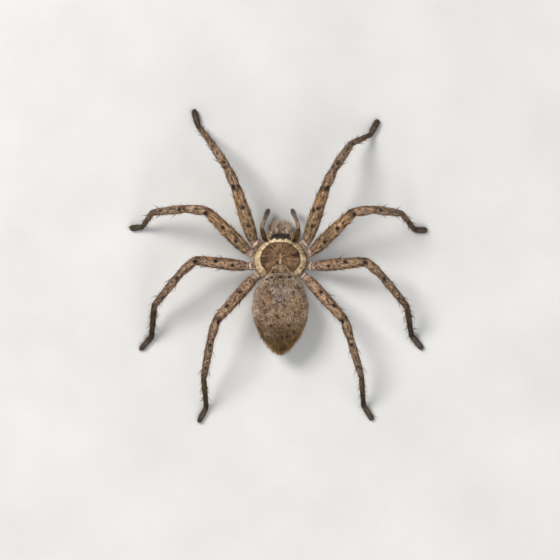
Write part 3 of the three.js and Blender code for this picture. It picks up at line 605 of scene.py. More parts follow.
def abdomenTint(rings):
    c, zones = abdomenColours, abdomenZones
    x, y, z = np.moveaxis(rings, -1, 0)
    off = np.abs(x)  # mm from the midline
    top = smoothStep(5.5, 7.5, z)
    tint = blendOf(c["front"], c["middle"], smoothStep(*zones["front"], y))
    for name, across, along, wide, long, strength in abdomenPatches:
        near = np.hypot((x - across) / wide, (y - along) / long) + 0.5 * (grain(rings, 0.9, 20) - 0.5)
        tint = blendOf(tint, c[name], strength * top * (1 - smoothStep(0.55, 1.15, near)))
    tint = blendOf(tint, c["rear"], smoothStep(*zones["rear"], y + 0.04 * off))
    tint = blendOf(tint, c["tip"], smoothStep(*zones["tip"], y + 0.15 * off))
    # the pale margin, with painted light making the left flank and shoulder paler than the right
    flank = np.where(x > 0, *marginPaleAndLit["side"])
    margin = smoothStep(4.2, 5.9, off) * (1 - smoothStep(11, 15, y)) * flank
    shoulder = smoothStep(0.86, 0.98, np.hypot(x / 6.3, (y - 10.5) / 8)) * smoothStep(0.6, 1.6, off)
    shoulder = shoulder * (1 - smoothStep(6, 9, y)) * np.where(x > 0, *marginPaleAndLit["shoulder"])
    tint = blendOf(tint, c["margin"], np.maximum(margin, shoulder))
    tint = blendOf(tint, c["pale"], 0.3 * smoothStep(0.55, 0.85, grain(rings, 0.75, 21)))
    fine = smoothStep(0.56, 0.74, grain(rings * (1, 0.8, 1), 2.1, 22))
    tint = blendOf(tint, c["speckle"], (0.5 + 0.3 * smoothStep(14, 17, y)) * fine)
    tint = blendOf(tint, c["speckle"], 0.25 * smoothStep(0.6, 0.9, grain(rings, 1.3, 23)))
    heart = np.exp(-(((off - 0.55) / 0.22) ** 2)) * window(y, 4, 5.5, 11, 13)
    midline = np.exp(-((x / 0.3) ** 2)) * smoothStep(18, 18.8, y)
    tint = blendOf(tint, c["speckle"], 0.16 * heart + 0.6 * midline)
    rough = 1 + 0.4 * (grain(rings, 3.0, 27) - 0.5)
    for name, across, along, wide, long, strength in abdomenDots:
        near = np.hypot((x - across) / wide, (y - along) / long) * rough
        tint = blendOf(tint, c[name], min(1, 1.15 * strength) * top * np.exp(-((near / 1.12) ** 6)))
    return blendOf(tint, c["under"], 1 - smoothStep(3.2, 5.2, z))


def addAbdomen():
    a = abdomen
    u = np.clip(
        (1 - np.cos(np.pi * (np.arange(a["rows"]) + 0.35) / (a["rows"] - 0.3))) / 2, 0.0008, 0.9992,
    )
    swell = abdomenSwell(u)
    y = a["front"] + a["frontInset"] + (a["rear"] - a["front"] - a["inset"] - a["frontInset"]) * u
    middle = a["frontZ"] + (a["rearZ"] - a["frontZ"]) * u
    turn = 2 * np.pi * np.arange(a["around"]) / a["around"]
    wide = np.maximum(a["halfWidth"] * swell - a["inset"], 0.05)[:, None]
    tall = np.maximum(a["halfHeight"] * swell - a["inset"], 0.04)[:, None]
    rings = np.stack(
        [np.sin(turn) * wide, y[:, None] + 0 * turn, middle[:, None] + np.cos(turn) * tall], -1,
    )
    lumps = grain(rings, 0.55, 24)[..., None] - 0.5
    folds = grain(rings * (0.5, 1.2, 0.5), 1.0, 25)[..., None] - 0.5
    centre = np.stack([0 * y, y, middle], -1)[:, None]
    relief = (0.16 * lumps + 0.1 * folds) * np.clip(wide[..., None] / 3, 0, 1)
    rings = rings + unit(rings - centre) * relief
    foremost = 1 - smoothStep(3.0, 3.7, rings[..., 1:2])  # its front fringe leans over the carapace
    lie = unit(unit(np.gradient(rings, axis=0)) * (1 - foremost) + (0, -1, 0.25) * foremost)
    rear = smoothStep(13.5, 19, rings[..., 1])
    frontEdge = 1 - smoothStep(3.2, 5.5, rings[..., 1])
    tip = smoothStep(17.5, 19.5, rings[..., 1])
    fur = 0.9 + 0.45 * rear + 0.35 * tip + 0.15 * frontEdge + 0.2 * (grain(rings, 0.8, 26) - 0.5)
    erect = 0.4 + 1.8 * rear + 2.2 * tip + 0.8 * frontEdge
    addShell(
        rings, "abdomen", (0, 0, 1, 1), abdomenTint(rings), lie, fur, 1.0, erect, 1.95 * rings, 0.95,
        0.13,
    )


spinnerets = {
    "root": 19.2, "z": 4.15, "colour": hue(96, 74, 52), "tipColour": hue(140, 112, 84),
    # across, up, length, radius
    "cones": [(0.42, 0.1, 1.75, 0.42), (0.5, 0.55, 1.6, 0.36), (0.16, 0.38, 1.2, 0.2)],
}


def addSpinnerets():
    s = spinnerets
    for side in sides.values():
        for across, up, length, radius in s["cones"]:
            root = np.array([side * across, s["root"], s["z"] + up - 0.3])
            tip = root + (side * 0.14, length, -0.14)
            centres = np.linspace(root, tip, 12)
            t = np.linspace(0, 1, 12)
            taper = radius * (1 - 0.35 * t) * roundedEnds(t * length, 0.16, start=False)
            rings, lie, _ = tubeRings(centres, taper, taper, 16)
            tint = blendOf(s["colour"], s["tipColour"], smoothStep(0.8, 1, t)[:, None] * np.ones(16))
            addShell(rings, "head", (0.64, 0.32, 0.7, 0.4), tint, lie, 0.5, 0.8, 0.4)


# jaws and palps
jaw = {
    "root": (1.5, -5.2, 5.6), "tip": (1.14, -8.2, 2.0), "bow": 0.75, "length": 4.9, "tallness": 1.15,
    "inset": 0.24, "halfWidth": [(0, 1.15), (0.3, 1.36), (0.7, 1.22), (1, 0.78)], "midline": 0.1,
    "rows": 44, "around": 44, "colour": hue(200, 180, 158), "dark": hue(126, 104, 88),
    "tipColour": hue(92, 66, 50),
}


def addJaws():
    j = jaw
    for side in sides.values():
        root, tip = onSide(j["root"], side), onSide(j["tip"], side)
        middle = root + (tip - root) * 0.45 + (0, -j["bow"], j["bow"])
        centres = bezier(root, middle, tip, j["rows"])
        t = np.linspace(0, 1, j["rows"])
        half = through(j["halfWidth"], t)
        ends = roundedEnds(t * j["length"], 0.75)
        wide, tall = (half - j["inset"]) * ends, (j["tallness"] * half - j["inset"]) * ends
        rings, lie, turn = tubeRings(centres, wide, tall, j["around"])
        # the pair meet flat on the midline
        rings[..., 0] = side * np.maximum(side * rings[..., 0], j["midline"])
        tint = blendOf(j["dark"], j["colour"], smoothStep(0.15, 0.7, grain(rings, 2.0, 31)))
        tint = blendOf(tint, j["tipColour"], smoothStep(0.86, 0.97, t)[:, None] * np.ones(j["around"]))
        inner = np.clip((side * rings[..., 0] - j["midline"]) / 0.25, 0, 1)
        beard = smoothStep(0.35, 0.7, t)[:, None] + 0 * turn
        row = 0.0 if side > 0 else 0.5
        cell = (0, row, 0.5, row + 0.48)
        addShell(
            rings, "face", cell, tint, lie, 1 + 0.6 * beard, 0.15 + 0.85 * inner, (1 + beard) * inner,
        )


palp = {
    "root": (2.6, -3.9, 4.3), "inset": 0.09, "softness": 0.28, "around": 28, "waist": 0.14,
    # length, heading, pitch
    "parts": [(1.5, 38, 5), (3.6, 15, 47), (1.7, -14, -4), (2.4, -22, -48), (3.3, -22, -66)],
    "halfWidth": [
        (0, 0.6), (0.12, 0.56), (0.25, 0.62), (0.4, 0.5), (0.48, 0.52), (0.62, 0.46), (0.8, 0.5),
        (0.94, 0.44), (1, 0.3),
    ],
    "colours": [  # mark along the palp and the screen colour there
        (0, 104, 74, 40), (1, 88, 63, 31), (1.1, 98, 64, 25), (1.9, 94, 64, 30), (2, 40, 30, 24),
        (2.25, 140, 118, 98), (3, 142, 124, 106), (3.5, 144, 126, 108), (4.2, 118, 102, 88),
        (5, 84, 72, 62),
    ],
}


def direction(heading, pitch, side):
    turn, rise = math.radians(heading), math.radians(pitch)
    return np.array(
        [side * math.sin(turn) * math.cos(rise), -math.cos(turn) * math.cos(rise), math.sin(rise)]
    )


def limbLine(root, lengths, ways, bows, softness):  # an even line along a limb, its bends rounded
    step = 0.1
    points, marks = [], []
    at = np.array(root, float)
    for number, (length, way, bow) in enumerate(zip(lengths, ways, bows)):
        up = np.cross(unit(np.cross(way, (0, 0, 1))), way)
        t = np.linspace(0, 1, max(int(length / step), 4), endpoint=False)
        points.append(at + way * (t * length)[:, None] + up * (bow * 4 * t * (1 - t))[:, None])
        marks.append(number + t)
        at = at + way * length
    line, mark = np.concatenate(points + [at[None]]), np.concatenate(marks + [[len(lengths)]])
    return smoothed(line, softness / step), mark


def stationColours(stations, mark):  # stations are a mark and the screen colour there
    places = [station[0] for station in stations]
    colours = np.array([hue(*station[1:]) for station in stations])
    return np.stack([np.interp(mark, places, colours[:, k]) for k in range(3)], -1)


def addPalps():
    p = palp
    for side in sides.values():
        lengths = [length for length, _, _ in p["parts"]]
        ways = [direction(heading, pitch, side) for _, heading, pitch in p["parts"]]
        centres, mark = limbLine(onSide(p["root"], side), lengths, ways, [0] * 5, p["softness"])
        centres, mark = centres[::2], mark[::2]
        s = lengthAlong(centres)
        radius = through(p["halfWidth"], s / s[-1]) - p["inset"]
        for joint in (1, 2, 3, 4):
            radius = radius * (1 - p["waist"] * np.exp(-((mark - joint) * 3 / 0.3) ** 2))
        radius = radius * roundedEnds(s, 0.5, start=False)
        rings, lie, turn = tubeRings(centres, radius, radius, p["around"])
        mottle = 0.75 + 0.5 * grain(rings, 2.6, 32)
        tint = stationColours(p["colours"], mark)[:, None] * mottle[..., None]
        fur = 0.45 + 0.35 * smoothStep(2.2, 4.5, mark)[:, None] + 0 * turn
        thick = 0.5 + 0.5 * smoothStep(2, 3, mark)[:, None] + 0 * turn
        row = 0.0 if side > 0 else 0.5
        addShell(rings, "face", (0.52, row, 1, row + 0.48), tint, lie, fur, thick, 0.3 + 0.9 * fur)


# walking legs, each one tube from the hip to the toe
hipHeight, ankleHeight, toeHeight = 4.3, 0.9, 0.49  # the last two for a girth of 1
legPairs = [  # hip, lengths of coxa, femur, patella, tibia, metatarsus and tarsus, girth
    {"hip": (6.0, -4.6), "lengths": (3.6, 14.8, 4.4, 9.4, 7.3, 3.8), "girth": 1.04},
    {"hip": (7.2, -2.3), "lengths": (3.6, 15.3, 4.6, 9.9, 7.1, 2.9), "girth": 1.0},
    {"hip": (7.35, 1.0), "lengths": (3.7, 13.4, 4.1, 10.7, 9.0, 3.9), "girth": 0.95, "shag": 1.6},
    {"hip": (5.7, 3.4), "lengths": (3.6, 14.6, 4.2, 10.4, 8.7, 3.9), "girth": 0.93, "shag": 1.2},
]
legPoses = {  # heading of the coxa, then heading and pitch, then headings of the two lowest parts
    "left": [
        (52, (18, 29.5), (24, 5), (33, -33), 37, 15),
        (78, (45.5, 33), (84, 2), (95, -38), 141, 94),
        (100, (83.5, 29), (131, 0), (140, -26), 173, 138),
        (130, (138.5, 28), (163, 0), (169, -28), 184, 153),
    ],
    "right": [
        (52, (18.5, 31), (26, 5), (33.5, -40.5), 63, 28),
        (78, (46, 35), (83, 6), (96, -48.5), 139, 91),
        (100, (85, 28), (131, 10), (140, -25), 169, 140),
        (130, (138, 28), (163, 0), (163, -28), 175, 147),
    ],
}
legForm = {
    "coxa": [(0, 0.95), (0.45, 1.2), (0.66, 1.08), (0.84, 1.2), (1, 1.05)],
    "femur": [(0, 1), (0.12, 1.3), (0.35, 1.46), (0.7, 1.32), (1, 1.1)],
    "tibia": [(0, 1.06), (0.14, 1.2), (0.3, 0.95), (0.48, 1.02), (0.75, 0.93), (1, 0.76)],
    "metatarsus": [(0, 0.7), (0.15, 0.71), (0.6, 0.61), (1, 0.55)],
    "tarsus": [(0, 0.58), (0.35, 0.68), (0.8, 0.66), (1, 0.48)],
    "bows": (0, 0.45, 0.2, 0.2, 0.2, 0), "around": 34, "softness": 0.28, "floorGap": 0.03,
    "insets": [
        (0, 0.1), (0.9, 0.1), (1.1, 0.08), (1.9, 0.09), (2.2, 0.13), (4, 0.12), (5.2, 0.05), (6, 0.05),
    ],
    "waists": {1: 0.08, 2: 0.12, 3: 0.08, 4: 0.1, 5: 0.06},
    "streaks": {
        "front": (0.5, 0.28, 0.28, 0.35, 0.5, 0.5, 0.5), "rear": (0.5, 0.4, 0.4, 0.5, 0.6, 0.5, 0.5),
    },
    "streakWidth": 1.6,
}
# along the leg, as (mark, value): strength of specks, length of fur, how thick it grows and stands
legCoat = {
    "specks": [(0, 0.8), (1.04, 0.8), (1.15, 1.0), (3.9, 1.0), (4.4, 0.85), (5, 0.6), (6, 0.5)],
    "fur": [
        (0, 0.6), (1, 0.62), (1.3, 0.8), (2, 0.8), (3, 0.85), (4, 0.85), (4.6, 0.85), (5.1, 0.9),
        (6, 0.8),
    ],
    "thick": [(0, 0.3), (0.6, 0.5), (1, 0.8), (2, 1), (4, 1.05), (4.7, 1.2), (5.1, 1.7), (6, 1.9)],
    "erect": [(0, 0), (0.9, 0.2), (1.2, 0.8), (2, 1.0), (4, 1.1), (5, 1.2), (6, 1.0)],
}
# along the leg, as mark and screen colour: whole marks are the joints, from the hip to the toe
legColours = {
    "front": [
        (0, 190, 166, 150), (0.9, 190, 165, 148), (0.97, 134, 107, 88), (1.04, 182, 155, 136),
        (1.07, 104, 78, 60), (1.12, 134, 107, 76), (1.5, 146, 118, 86), (1.85, 158, 124, 88),
        (1.93, 154, 124, 90), (2, 112, 84, 62), (2.12, 140, 114, 91), (2.9, 140, 114, 92),
        (3, 110, 86, 67), (3.12, 144, 120, 97), (3.5, 148, 124, 101), (3.7, 138, 115, 93),
        (3.9, 106, 83, 64), (4.1, 128, 106, 83), (4.4, 114, 93, 70), (4.7, 90, 75, 58), (5, 74, 63, 52),
        (5.3, 86, 75, 64), (6, 74, 65, 56),
    ],
    "rear": [
        (0, 190, 167, 153), (0.9, 190, 166, 152), (0.97, 126, 100, 84), (1.02, 184, 159, 143),
        (1.08, 180, 153, 136), (1.11, 104, 78, 60), (1.15, 142, 114, 92), (1.5, 138, 108, 85),
        (1.9, 142, 112, 86), (2, 108, 80, 60), (2.12, 128, 101, 80), (2.5, 126, 98, 75),
        (2.9, 122, 94, 69), (3, 100, 75, 55), (3.15, 129, 105, 81), (3.5, 120, 94, 70),
        (3.7, 122, 97, 73), (3.9, 96, 71, 51), (4.12, 92, 73, 50), (4.5, 76, 60, 43), (4.9, 56, 46, 35),
        (5.15, 82, 72, 60), (5.6, 88, 77, 67), (6, 68, 60, 52),
    ],
    "dark": hue(58, 41, 29), "light": hue(198, 176, 150), "spot": hue(12, 9, 8),
    "speckle": hue(70, 52, 39), "orange": hue(166, 118, 76), "fringe": hue(196, 174, 146),
    # brightness of each pair's left and right femur, then of the left and right coxae
    "femurShade": [{1: 0.93, -1: 0.94}, {1: 1.03, -1: 0.95}, {1: 1.06, -1: 1.0}, {1: 1.2, -1: 1.0}],
    "hipShade": {1: 1.0, -1: 0.88},
    "spotShift": (0, 0, 0, 0.07),  # how much further out a pair has its two femur spots
}
# place along the leg, degrees behind its top line in each pair, half length and width in mm, strength
legSpots = [
    (1.18, (6, 0, 20, 8), 0.26, 0.24, 0.8), (1.36, (3, 14, 6, -15), 0.56, 0.42, 1),
    (1.52, (-30, -30, -25, -30), 0.24, 0.22, 0.7), (1.67, (-3, 5, -17, -20), 0.6, 0.46, 1),
    (2.08, (30, 32, 12, 40), 0.5, 0.5, 1), (2.6, (-14, 14, 20, 0), 0.26, 0.26, 0.6),
    (3.13, (0, 0, 4, 8), 0.52, 0.46, 1), (3.45, (8, 6, 8, -5), 0.32, 0.3, 0.85),
    (3.69, (0, -12, 25, 5), 0.42, 0.38, 0.9),
]


def legJoints(number, sideName):
    side = sides[sideName]
    pair, pose = legPairs[number], legPoses[sideName][number]
    lengths = pair["lengths"]
    bent = [direction(heading, pitch, side) for heading, pitch in pose[1:4]]
    ankle = hipHeight + sum(length * way[2] for length, way in zip(lengths[1:4], bent))

    def falling(heading, drop, length):
        return direction(heading, -math.degrees(math.asin(drop / length)), side)

    ways = [direction(pose[0], 0, side)] + bent
    girth = pair["girth"]
    ways += [falling(pose[4], ankle - ankleHeight * girth, lengths[4])]
    ways += [falling(pose[5], (ankleHeight - toeHeight) * girth, lengths[5])]
    root = np.array([side * pair["hip"][0], pair["hip"][1], hipHeight]) - ways[0] * lengths[0]
    return root, lengths, ways


def legRadius(mark, lengths, girth):
    part = np.clip(mark.astype(int), 0, 5)
    share = mark - part
    shin = lengths[2] + lengths[3]
    knee = np.where(part == 2, share * lengths[2], lengths[2] + share * lengths[3]) / shin
    tibia = through(legForm["tibia"], knee)
    forms = [through(legForm["coxa"], share), through(legForm["femur"], share), tibia, tibia]
    forms += [through(legForm["metatarsus"], share), through(legForm["tarsus"], share)]
    return girth * np.choose(part, forms)


def legTint(number, side, rings, mark, s, turn):
    c = legColours
    front = number < 2
    lengths = legPairs[number]["lengths"]
    tint = stationColours(c["front" if front else "rear"], mark)[:, None] + 0 * rings
    m, seed = mark[:, None] + 0 * turn, 40 + number + 4 * (side > 0)
    offTop = np.minimum(turn, 2 * np.pi - turn)  # turn away from the top line

    # dark and pale streaks along the femora, speckles further out
    around = np.stack([np.cos(turn), np.sin(turn)], -1)[None] + np.zeros(rings.shape[:2] + (2,))
    length = s[:, None, None] + np.zeros(rings.shape[:2] + (1,))
    streak = grain(np.concatenate([around * 4.2, length * 0.9], -1), 1.0, seed)
    fineStreak = grain(np.concatenate([around * 7.0, length * 1.8], -1), 1.0, seed + 9)
    upper = window(m, 1.0, 1.1, 1.9, 2.05)
    strength = upper * (1.0 if front else 0.45) + (1 - upper) * 0.25
    both = 0.55 * streak + 0.45 * fineStreak
    tint = blendOf(tint, c["dark"], 0.7 * strength * smoothStep(0.55, 0.7, both))
    tint = blendOf(tint, c["light"], 0.4 * strength * smoothStep(0.48, 0.22, both))
    if front:
        tint = blendOf(tint, c["orange"], 0.22 * window(m, 1.55, 1.85, 1.9, 1.97) * streak)
    speckle = grain(rings, 3.4, seed + 20) * 0.6 + grain(rings, 1.7, seed + 21) * 0.4
    coarse = smoothStep(0.52, 0.74, speckle) * window(m, 0.9, 1.1, 4, 4.6)
    tint = blendOf(tint, c["speckle"], coarse * np.where(m < 2, 0.35 if front else 0.6, 0.6))
    patch = smoothStep(0.55, 0.8, grain(rings, 0.8, seed + 22)) * window(m, 2, 2.1, 4, 4.2)
    tint = blendOf(tint, c["light"], 0.2 * patch)
    # the top line of each leg paler: partly the leg's own pale edge, partly a painted highlight
    crest = np.exp(-((offTop / 0.5) ** 2)) * window(m, 1.05, 1.2, 3.7, 4)
    tint = blendOf(tint, c["light"], (0.12 if front else 0.24) * crest)
    # painted shade: the underside of each leg is darkened, then the pale fringe of hairs hangs there on
    # the shins
    below = smoothStep(1.7, 2.3, offTop) + 0 * m
    shaded = tint * (1 - 0.18 * below)[..., None]
    tint = blendOf(shaded, c["fringe"], 0.7 * below * window(m, 2, 2.3, 4, 4.3))

    # the hips, the joints and the round spots
    tint = blendOf(tint, c["dark"], 0.55 * window(m, 0.62, 0.7, 0.72, 0.8))
    tint = tint * (1 - (1 - c["femurShade"][number][side]) * window(m, 1, 1.15, 2, 2.2))[..., None]
    tint = tint * (1 - (1 - c["hipShade"][side]) * (1 - smoothStep(1.05, 1.15, m)))[..., None]
    for joint in (2, 3, 4, 5):
        near = (m - joint) * lengths[min(joint, 4)] / 0.24
        tint = blendOf(tint, c["dark"], 0.55 * np.exp(-(near**2)))
    radius = np.linalg.norm(rings - rings.mean(1, keepdims=True), axis=-1)
    spots = np.zeros(rings.shape[:2])
    rough = 1 + 0.4 * (grain(rings, 2.4, seed + 30) - 0.5)
    for place, behind, halfLong, halfWide, strength in legSpots:
        around = np.abs((turn + side * math.radians(behind[number]) + np.pi) % (2 * np.pi) - np.pi)
        length = lengths[min(int(place), 5)]
        place = place + (c["spotShift"][number] if 1.3 < place < 1.7 else 0)
        near = np.hypot((m - place) * length / halfLong, radius * around / halfWide) * rough
        spot = strength * np.exp(-(near**6))
        tint, spots = blendOf(tint, c["spot"], spot), np.maximum(spots, spot)
    return tint, spots


legLines = {}  # centreline, marks and radius of each leg, for its spines and claws
rimRoof = {"height": 4.66, "rise": 1.5, "gap": 0.1}  # mm high under the rim, then rising by this share


def underRim(rings):  # how high a leg's root may rise, so that it comes out from under the carapace
    evenly = np.linspace(0, 2 * np.pi, 361)
    turn = np.arctan2(rings[..., 0], shellGrid["centre"] - rings[..., 1]) % (2 * np.pi)
    away = np.hypot(rings[..., 0], rings[..., 1] - shellGrid["centre"])
    beyond = away - np.interp(turn, evenly, outlineRadius([carapace], evenly))
    return rimRoof["height"] + rimRoof["rise"] * np.maximum(beyond - rimRoof["gap"], 0)


def alongLeg(name, m):
    return np.interp(m, *zip(*legCoat[name]))


def addLegs():
    f = legForm
    for sideName, side in sides.items():
        for number, pair in enumerate(legPairs):
            root, lengths, ways = legJoints(number, sideName)
            centres, mark = limbLine(root, lengths, ways, f["bows"], f["softness"])
            full = smoothed(legRadius(mark, lengths, pair["girth"]), 2.0)
            legLines[(number, sideName)] = (centres, mark, full)
            centres, mark, full = centres[4::2], mark[4::2], full[4::2]
            s = lengthAlong(centres)
            radius = full - np.interp(mark, *zip(*f["insets"]))
            for joint, depth in f["waists"].items():
                near = (mark - joint) * np.where(mark < joint, lengths[joint - 1], lengths[joint])
                radius = radius * (1 - depth * np.exp(-((near / 0.34) ** 2)))
            radius = radius * roundedEnds(s, 0.45, start=False)
            tallness = np.interp(mark, [0, 0.9, 1.1, 4.9, 5.1], [1.1, 1.1, 1, 1, 0.9])
            rings, lie, turn = tubeRings(centres, radius, radius * tallness, f["around"])
            outwards = unit(rings - centres[:, None])
            rings = rings + 0.05 * (grain(rings, 1.1, 39)[..., None] - 0.5) * outwards
            m = mark[:, None] + 0 * turn
            lumps = np.exp(-(((mark - 0.8) / 0.3) ** 4))[:, None, None]
            rings = rings + 0.22 * lumps * (grain(rings, 1.3, 38)[..., None] - 0.5) * outwards
            rings[..., 2] = np.where(m < 1.3, np.minimum(rings[..., 2], underRim(rings)), rings[..., 2])
            rings[..., 2] = np.maximum(rings[..., 2], f["floorGap"])
            below = smoothStep(1.6, 2.4, np.minimum(turn, 2 * np.pi - turn)) + 0 * m
            foot = smoothStep(4.75, 5.1, m)

            # the streaks' pattern is read along the leg, stretched by its pace
            pace = np.interp(mark, range(7), f["streaks"]["front" if number < 2 else "rear"])
            run = np.cumsum(pace * np.gradient(s)) + 40 * number + 200 * (side > 0)
            wide = f["streakWidth"] * radius[:, None]
            flow = np.stack(
                [wide * np.cos(turn), wide * np.sin(turn), f["streakWidth"] * run[:, None] + 0 * turn],
                -1,
            )
            tint, spots = legTint(number, side, rings, mark, s, turn)
            specks = alongLeg("specks", m) * (1 - spots)

            shag = pair.get("shag", 1)
            shaggy = np.interp(m, [3.6, 4.1, 5, 5.4], [1, shag, shag, 1])
            fur = (alongLeg("fur", m) - 0.1 * foot) * shaggy
            thick = alongLeg("thick", m) * (1 + 0.5 * foot * below) * (1 - 0.9 * spots)
            brush = 1.2 * below * smoothStep(2, 2.3, m) * (1 - smoothStep(4.3, 4.6, m))
            erect = alongLeg("erect", m) * (1 + brush + 0.3 * foot)
            # nothing stands up from the highest knees
            erect = erect * (1 - smoothStep(12.6, 13.6, rings[..., 2]))
            row = 0.0 if side > 0 else 0.5
            cell = (row, 0, row + 0.48, 1)
            addShell(rings, f"legs_{number + 1}", cell, tint, lie, fur, thick, erect, flow, specks)


# meshes from the shells
def setField(mesh, name, kind, values, domain="POINT"):
    made = mesh.attributes.new(name, kind, domain)
    slot = {"FLOAT": "value", "FLOAT_VECTOR": "vector", "FLOAT_COLOR": "color", "FLOAT2": "vector"}[kind]
    made.data.foreach_set(slot, np.ascontiguousarray(values, np.float32).ravel())


def meshFrom(name, parts, coatFields):
    points = (np.concatenate([part["points"] for part in parts]) + bodyShift) * mm
    faces, start = [], 0
    for part in parts:
        faces += [[corner + start for corner in face] for face in part["faces"]]
        start += len(part["points"])
    mesh = bpy.data.meshes.new(name)
    mesh.from_pydata(points.tolist(), [], faces)
    look = np.concatenate([part["lookAhead" if coatFields else "look"] for part in parts])
    setField(mesh, "tint", "FLOAT_COLOR", np.clip(look[:, :4], 0.002, 1))
    setField(mesh, "flow", "FLOAT_VECTOR", look[:, 4:])
    if coatFields:
        setField(mesh, "lie", "FLOAT_VECTOR", np.concatenate([part["lie"] for part in parts]))
        for field in ("fur", "thick", "erect"):
            setField(mesh, field, "FLOAT", np.concatenate([part[field] for part in parts]))
        setField(mesh, "rootPlace", "FLOAT2", np.concatenate([part["uvs"] for part in parts]), "CORNER")
    mesh.shade_smooth()
    mesh.update()
    return mesh


def addObject(name, mesh, material=None):
    piece = bpy.data.objects.new(name, mesh)
    bpy.context.scene.collection.objects.link(piece)
    if material:
        mesh.materials.clear()
        mesh.materials.append(material)
    return piece


def trianglesOf(mesh):
    return sum(len(polygon.vertices) - 2 for polygon in mesh.polygons)


def pointsOf(mesh):
    points = np.empty(len(mesh.vertices) * 3, np.float32)
    mesh.vertices.foreach_get("co", points)
    return points.reshape(-1, 3)


# nodes of materials and geometry: a value may be a number or the output of another node
def addNode(tree, kind, **settings):
    node = tree.nodes.new(kind)
    for name, value in settings.items():
        setattr(node, name, value)
    return node


def feed(tree, sockets, values):
    for socket, value in zip(sockets, values):
        if isinstance(value, bpy.types.NodeSocket):
            tree.links.new(value, socket)
        elif value is not None:
            socket.default_value = value


def socketOf(sockets, name):
    return next(socket for socket in sockets if socket.name == name and socket.enabled)


def linkTo(tree, node, **values):  # sockets by name, with _ for a space
    feed(tree, [socketOf(node.inputs, name.replace("_", " ")) for name in values], values.values())
    return node


def math2(tree, operation, first, second=None):
    node = addNode(tree, "ShaderNodeMath", operation=operation)
    feed(tree, node.inputs, (first, second))
    return node.outputs[0]


def vector2(tree, operation, first, second=None, scale=None):
    node = addNode(tree, "ShaderNodeVectorMath", operation=operation)
    feed(tree, node.inputs, (first, second))
    if scale is not None:
        linkTo(tree, node, Scale=scale)
    return node.outputs[0]


def mixNode(tree, blend, factor, first, second):
    node = addNode(tree, "ShaderNodeMix", data_type="RGBA", blend_type=blend)
    feed(tree, (node.inputs[0], node.inputs[6], node.inputs[7]), (factor, first, second))
    return node.outputs[2]


def noiseNode(tree, scale, detail=3.0, roughness=0.55, place=None):
    place = place or addNode(tree, "ShaderNodeTexCoord").outputs["Object"]
    noise = addNode(tree, "ShaderNodeTexNoise")
    return linkTo(
        tree, noise, Vector=place, Scale=scale, Detail=detail, Roughness=roughness,
    ).outputs["Fac"]


def rampNode(tree, factor, stops):
    ramp = addNode(tree, "ShaderNodeValToRGB")
    points = ramp.color_ramp.elements
    while len(points) < len(stops):
        points.new(0.5)
    for point, (place, colour) in zip(points, stops):
        point.position = place
        point.color = (*colour, 1)
    return linkTo(tree, ramp, Fac=factor).outputs["Color"]


# noise is scale, detail and roughness, depth is in metres
def addRelief(tree, shader, noise, strength, depth):
    bump = addNode(tree, "ShaderNodeBump")
    linkTo(tree, bump, Strength=strength, Distance=depth, Height=noiseNode(tree, *noise))
    linkTo(tree, shader, Normal=bump.outputs["Normal"])


def named(tree, name, kind):
    node = addNode(tree, "GeometryNodeInputNamedAttribute", data_type=kind)
    return linkTo(tree, node, Name=name).outputs["Attribute"]


def randomIn(tree, kind, low, high, seed):
    node = addNode(tree, "FunctionNodeRandomValue", data_type=kind)
    linkTo(tree, node, Min=low, Max=high, Seed=seed)
    return next(socket for socket in node.outputs if socket.enabled)


# materials
speckLook = {  # light and dark specks of skin and hair alike, scale is in waves per mm
    "scale": 1.9, "detail": 2.5, "roughness": 0.6, "gain": 2.0,
    "stops": [
        (0.36, (0.08, 0.065, 0.055)), (0.45, (0.36, 0.35, 0.34)), (0.52, (0.56, 0.56, 0.56)),
        (0.66, (0.8, 0.81, 0.83)),
    ],
}
skinLook = {  # noise is waves per metre and detail, relief is noise, strength and depth in metres
    "roughness": 0.62, "gloss": 0.18, "noise": (5200, 3), "strength": 0.8,
    "relief": ((9000, 4, 0.65), 0.6, 0.00006),
    "stops": [(0.3, (0.55, 0.55, 0.55)), (0.7, (1.0, 1.0, 1.0))],
}
# hair and strand are the shades of one hair against another, and of one hair from root to tip
coatLook = {
    "roughness": 0.55, "gloss": 0.2, "gain": 1.9,
    "hair": [(0.0, (0.36, 0.34, 0.33)), (0.5, (0.66, 0.66, 0.66)), (1.0, (1.0, 0.99, 0.97))],
    "strand": [(0.0, (0.55, 0.53, 0.51)), (0.5, (0.85, 0.85, 0.85)), (1.0, (1.0, 1.0, 1.0))],
}
eyeLook = {
    "roughness": 0.1, "gloss": 0.42, "noise": (1500, 2),
    "stops": [(0.35, (0.004, 0.004, 0.006)), (0.65, (0.018, 0.012, 0.016))],
}
hornKinds = {  # dark and light colour, roughness
    "fang": ((0.012, 0.004, 0.003), (0.06, 0.016, 0.008), 0.22),
    "claw": ((0.01, 0.006, 0.004), (0.03, 0.018, 0.012), 0.35),
    "spine": ((0.012, 0.008, 0.006), (0.05, 0.03, 0.02), 0.38),
}
hornLook = {"noise": (1800, 4), "places": (0.3, 0.75), "relief": ((14000, 2), 0.15, 0.00002)}
floorLook = {
    "reach": 1.6, "roughness": 0.9, "noise": (40, 5),
    "stops": [(0.3, (0.43, 0.425, 0.415)), (0.7, (0.48, 0.475, 0.465))],
}


def newMaterial(name, roughness, gloss=0.5):
    material = bpy.data.materials.new(name)
    material.use_nodes = True
    tree = material.node_tree
    shader = tree.nodes["Principled BSDF"]
    linkTo(tree, shader, Roughness=roughness, Specular_IOR_Level=gloss)
    return material, tree, shader


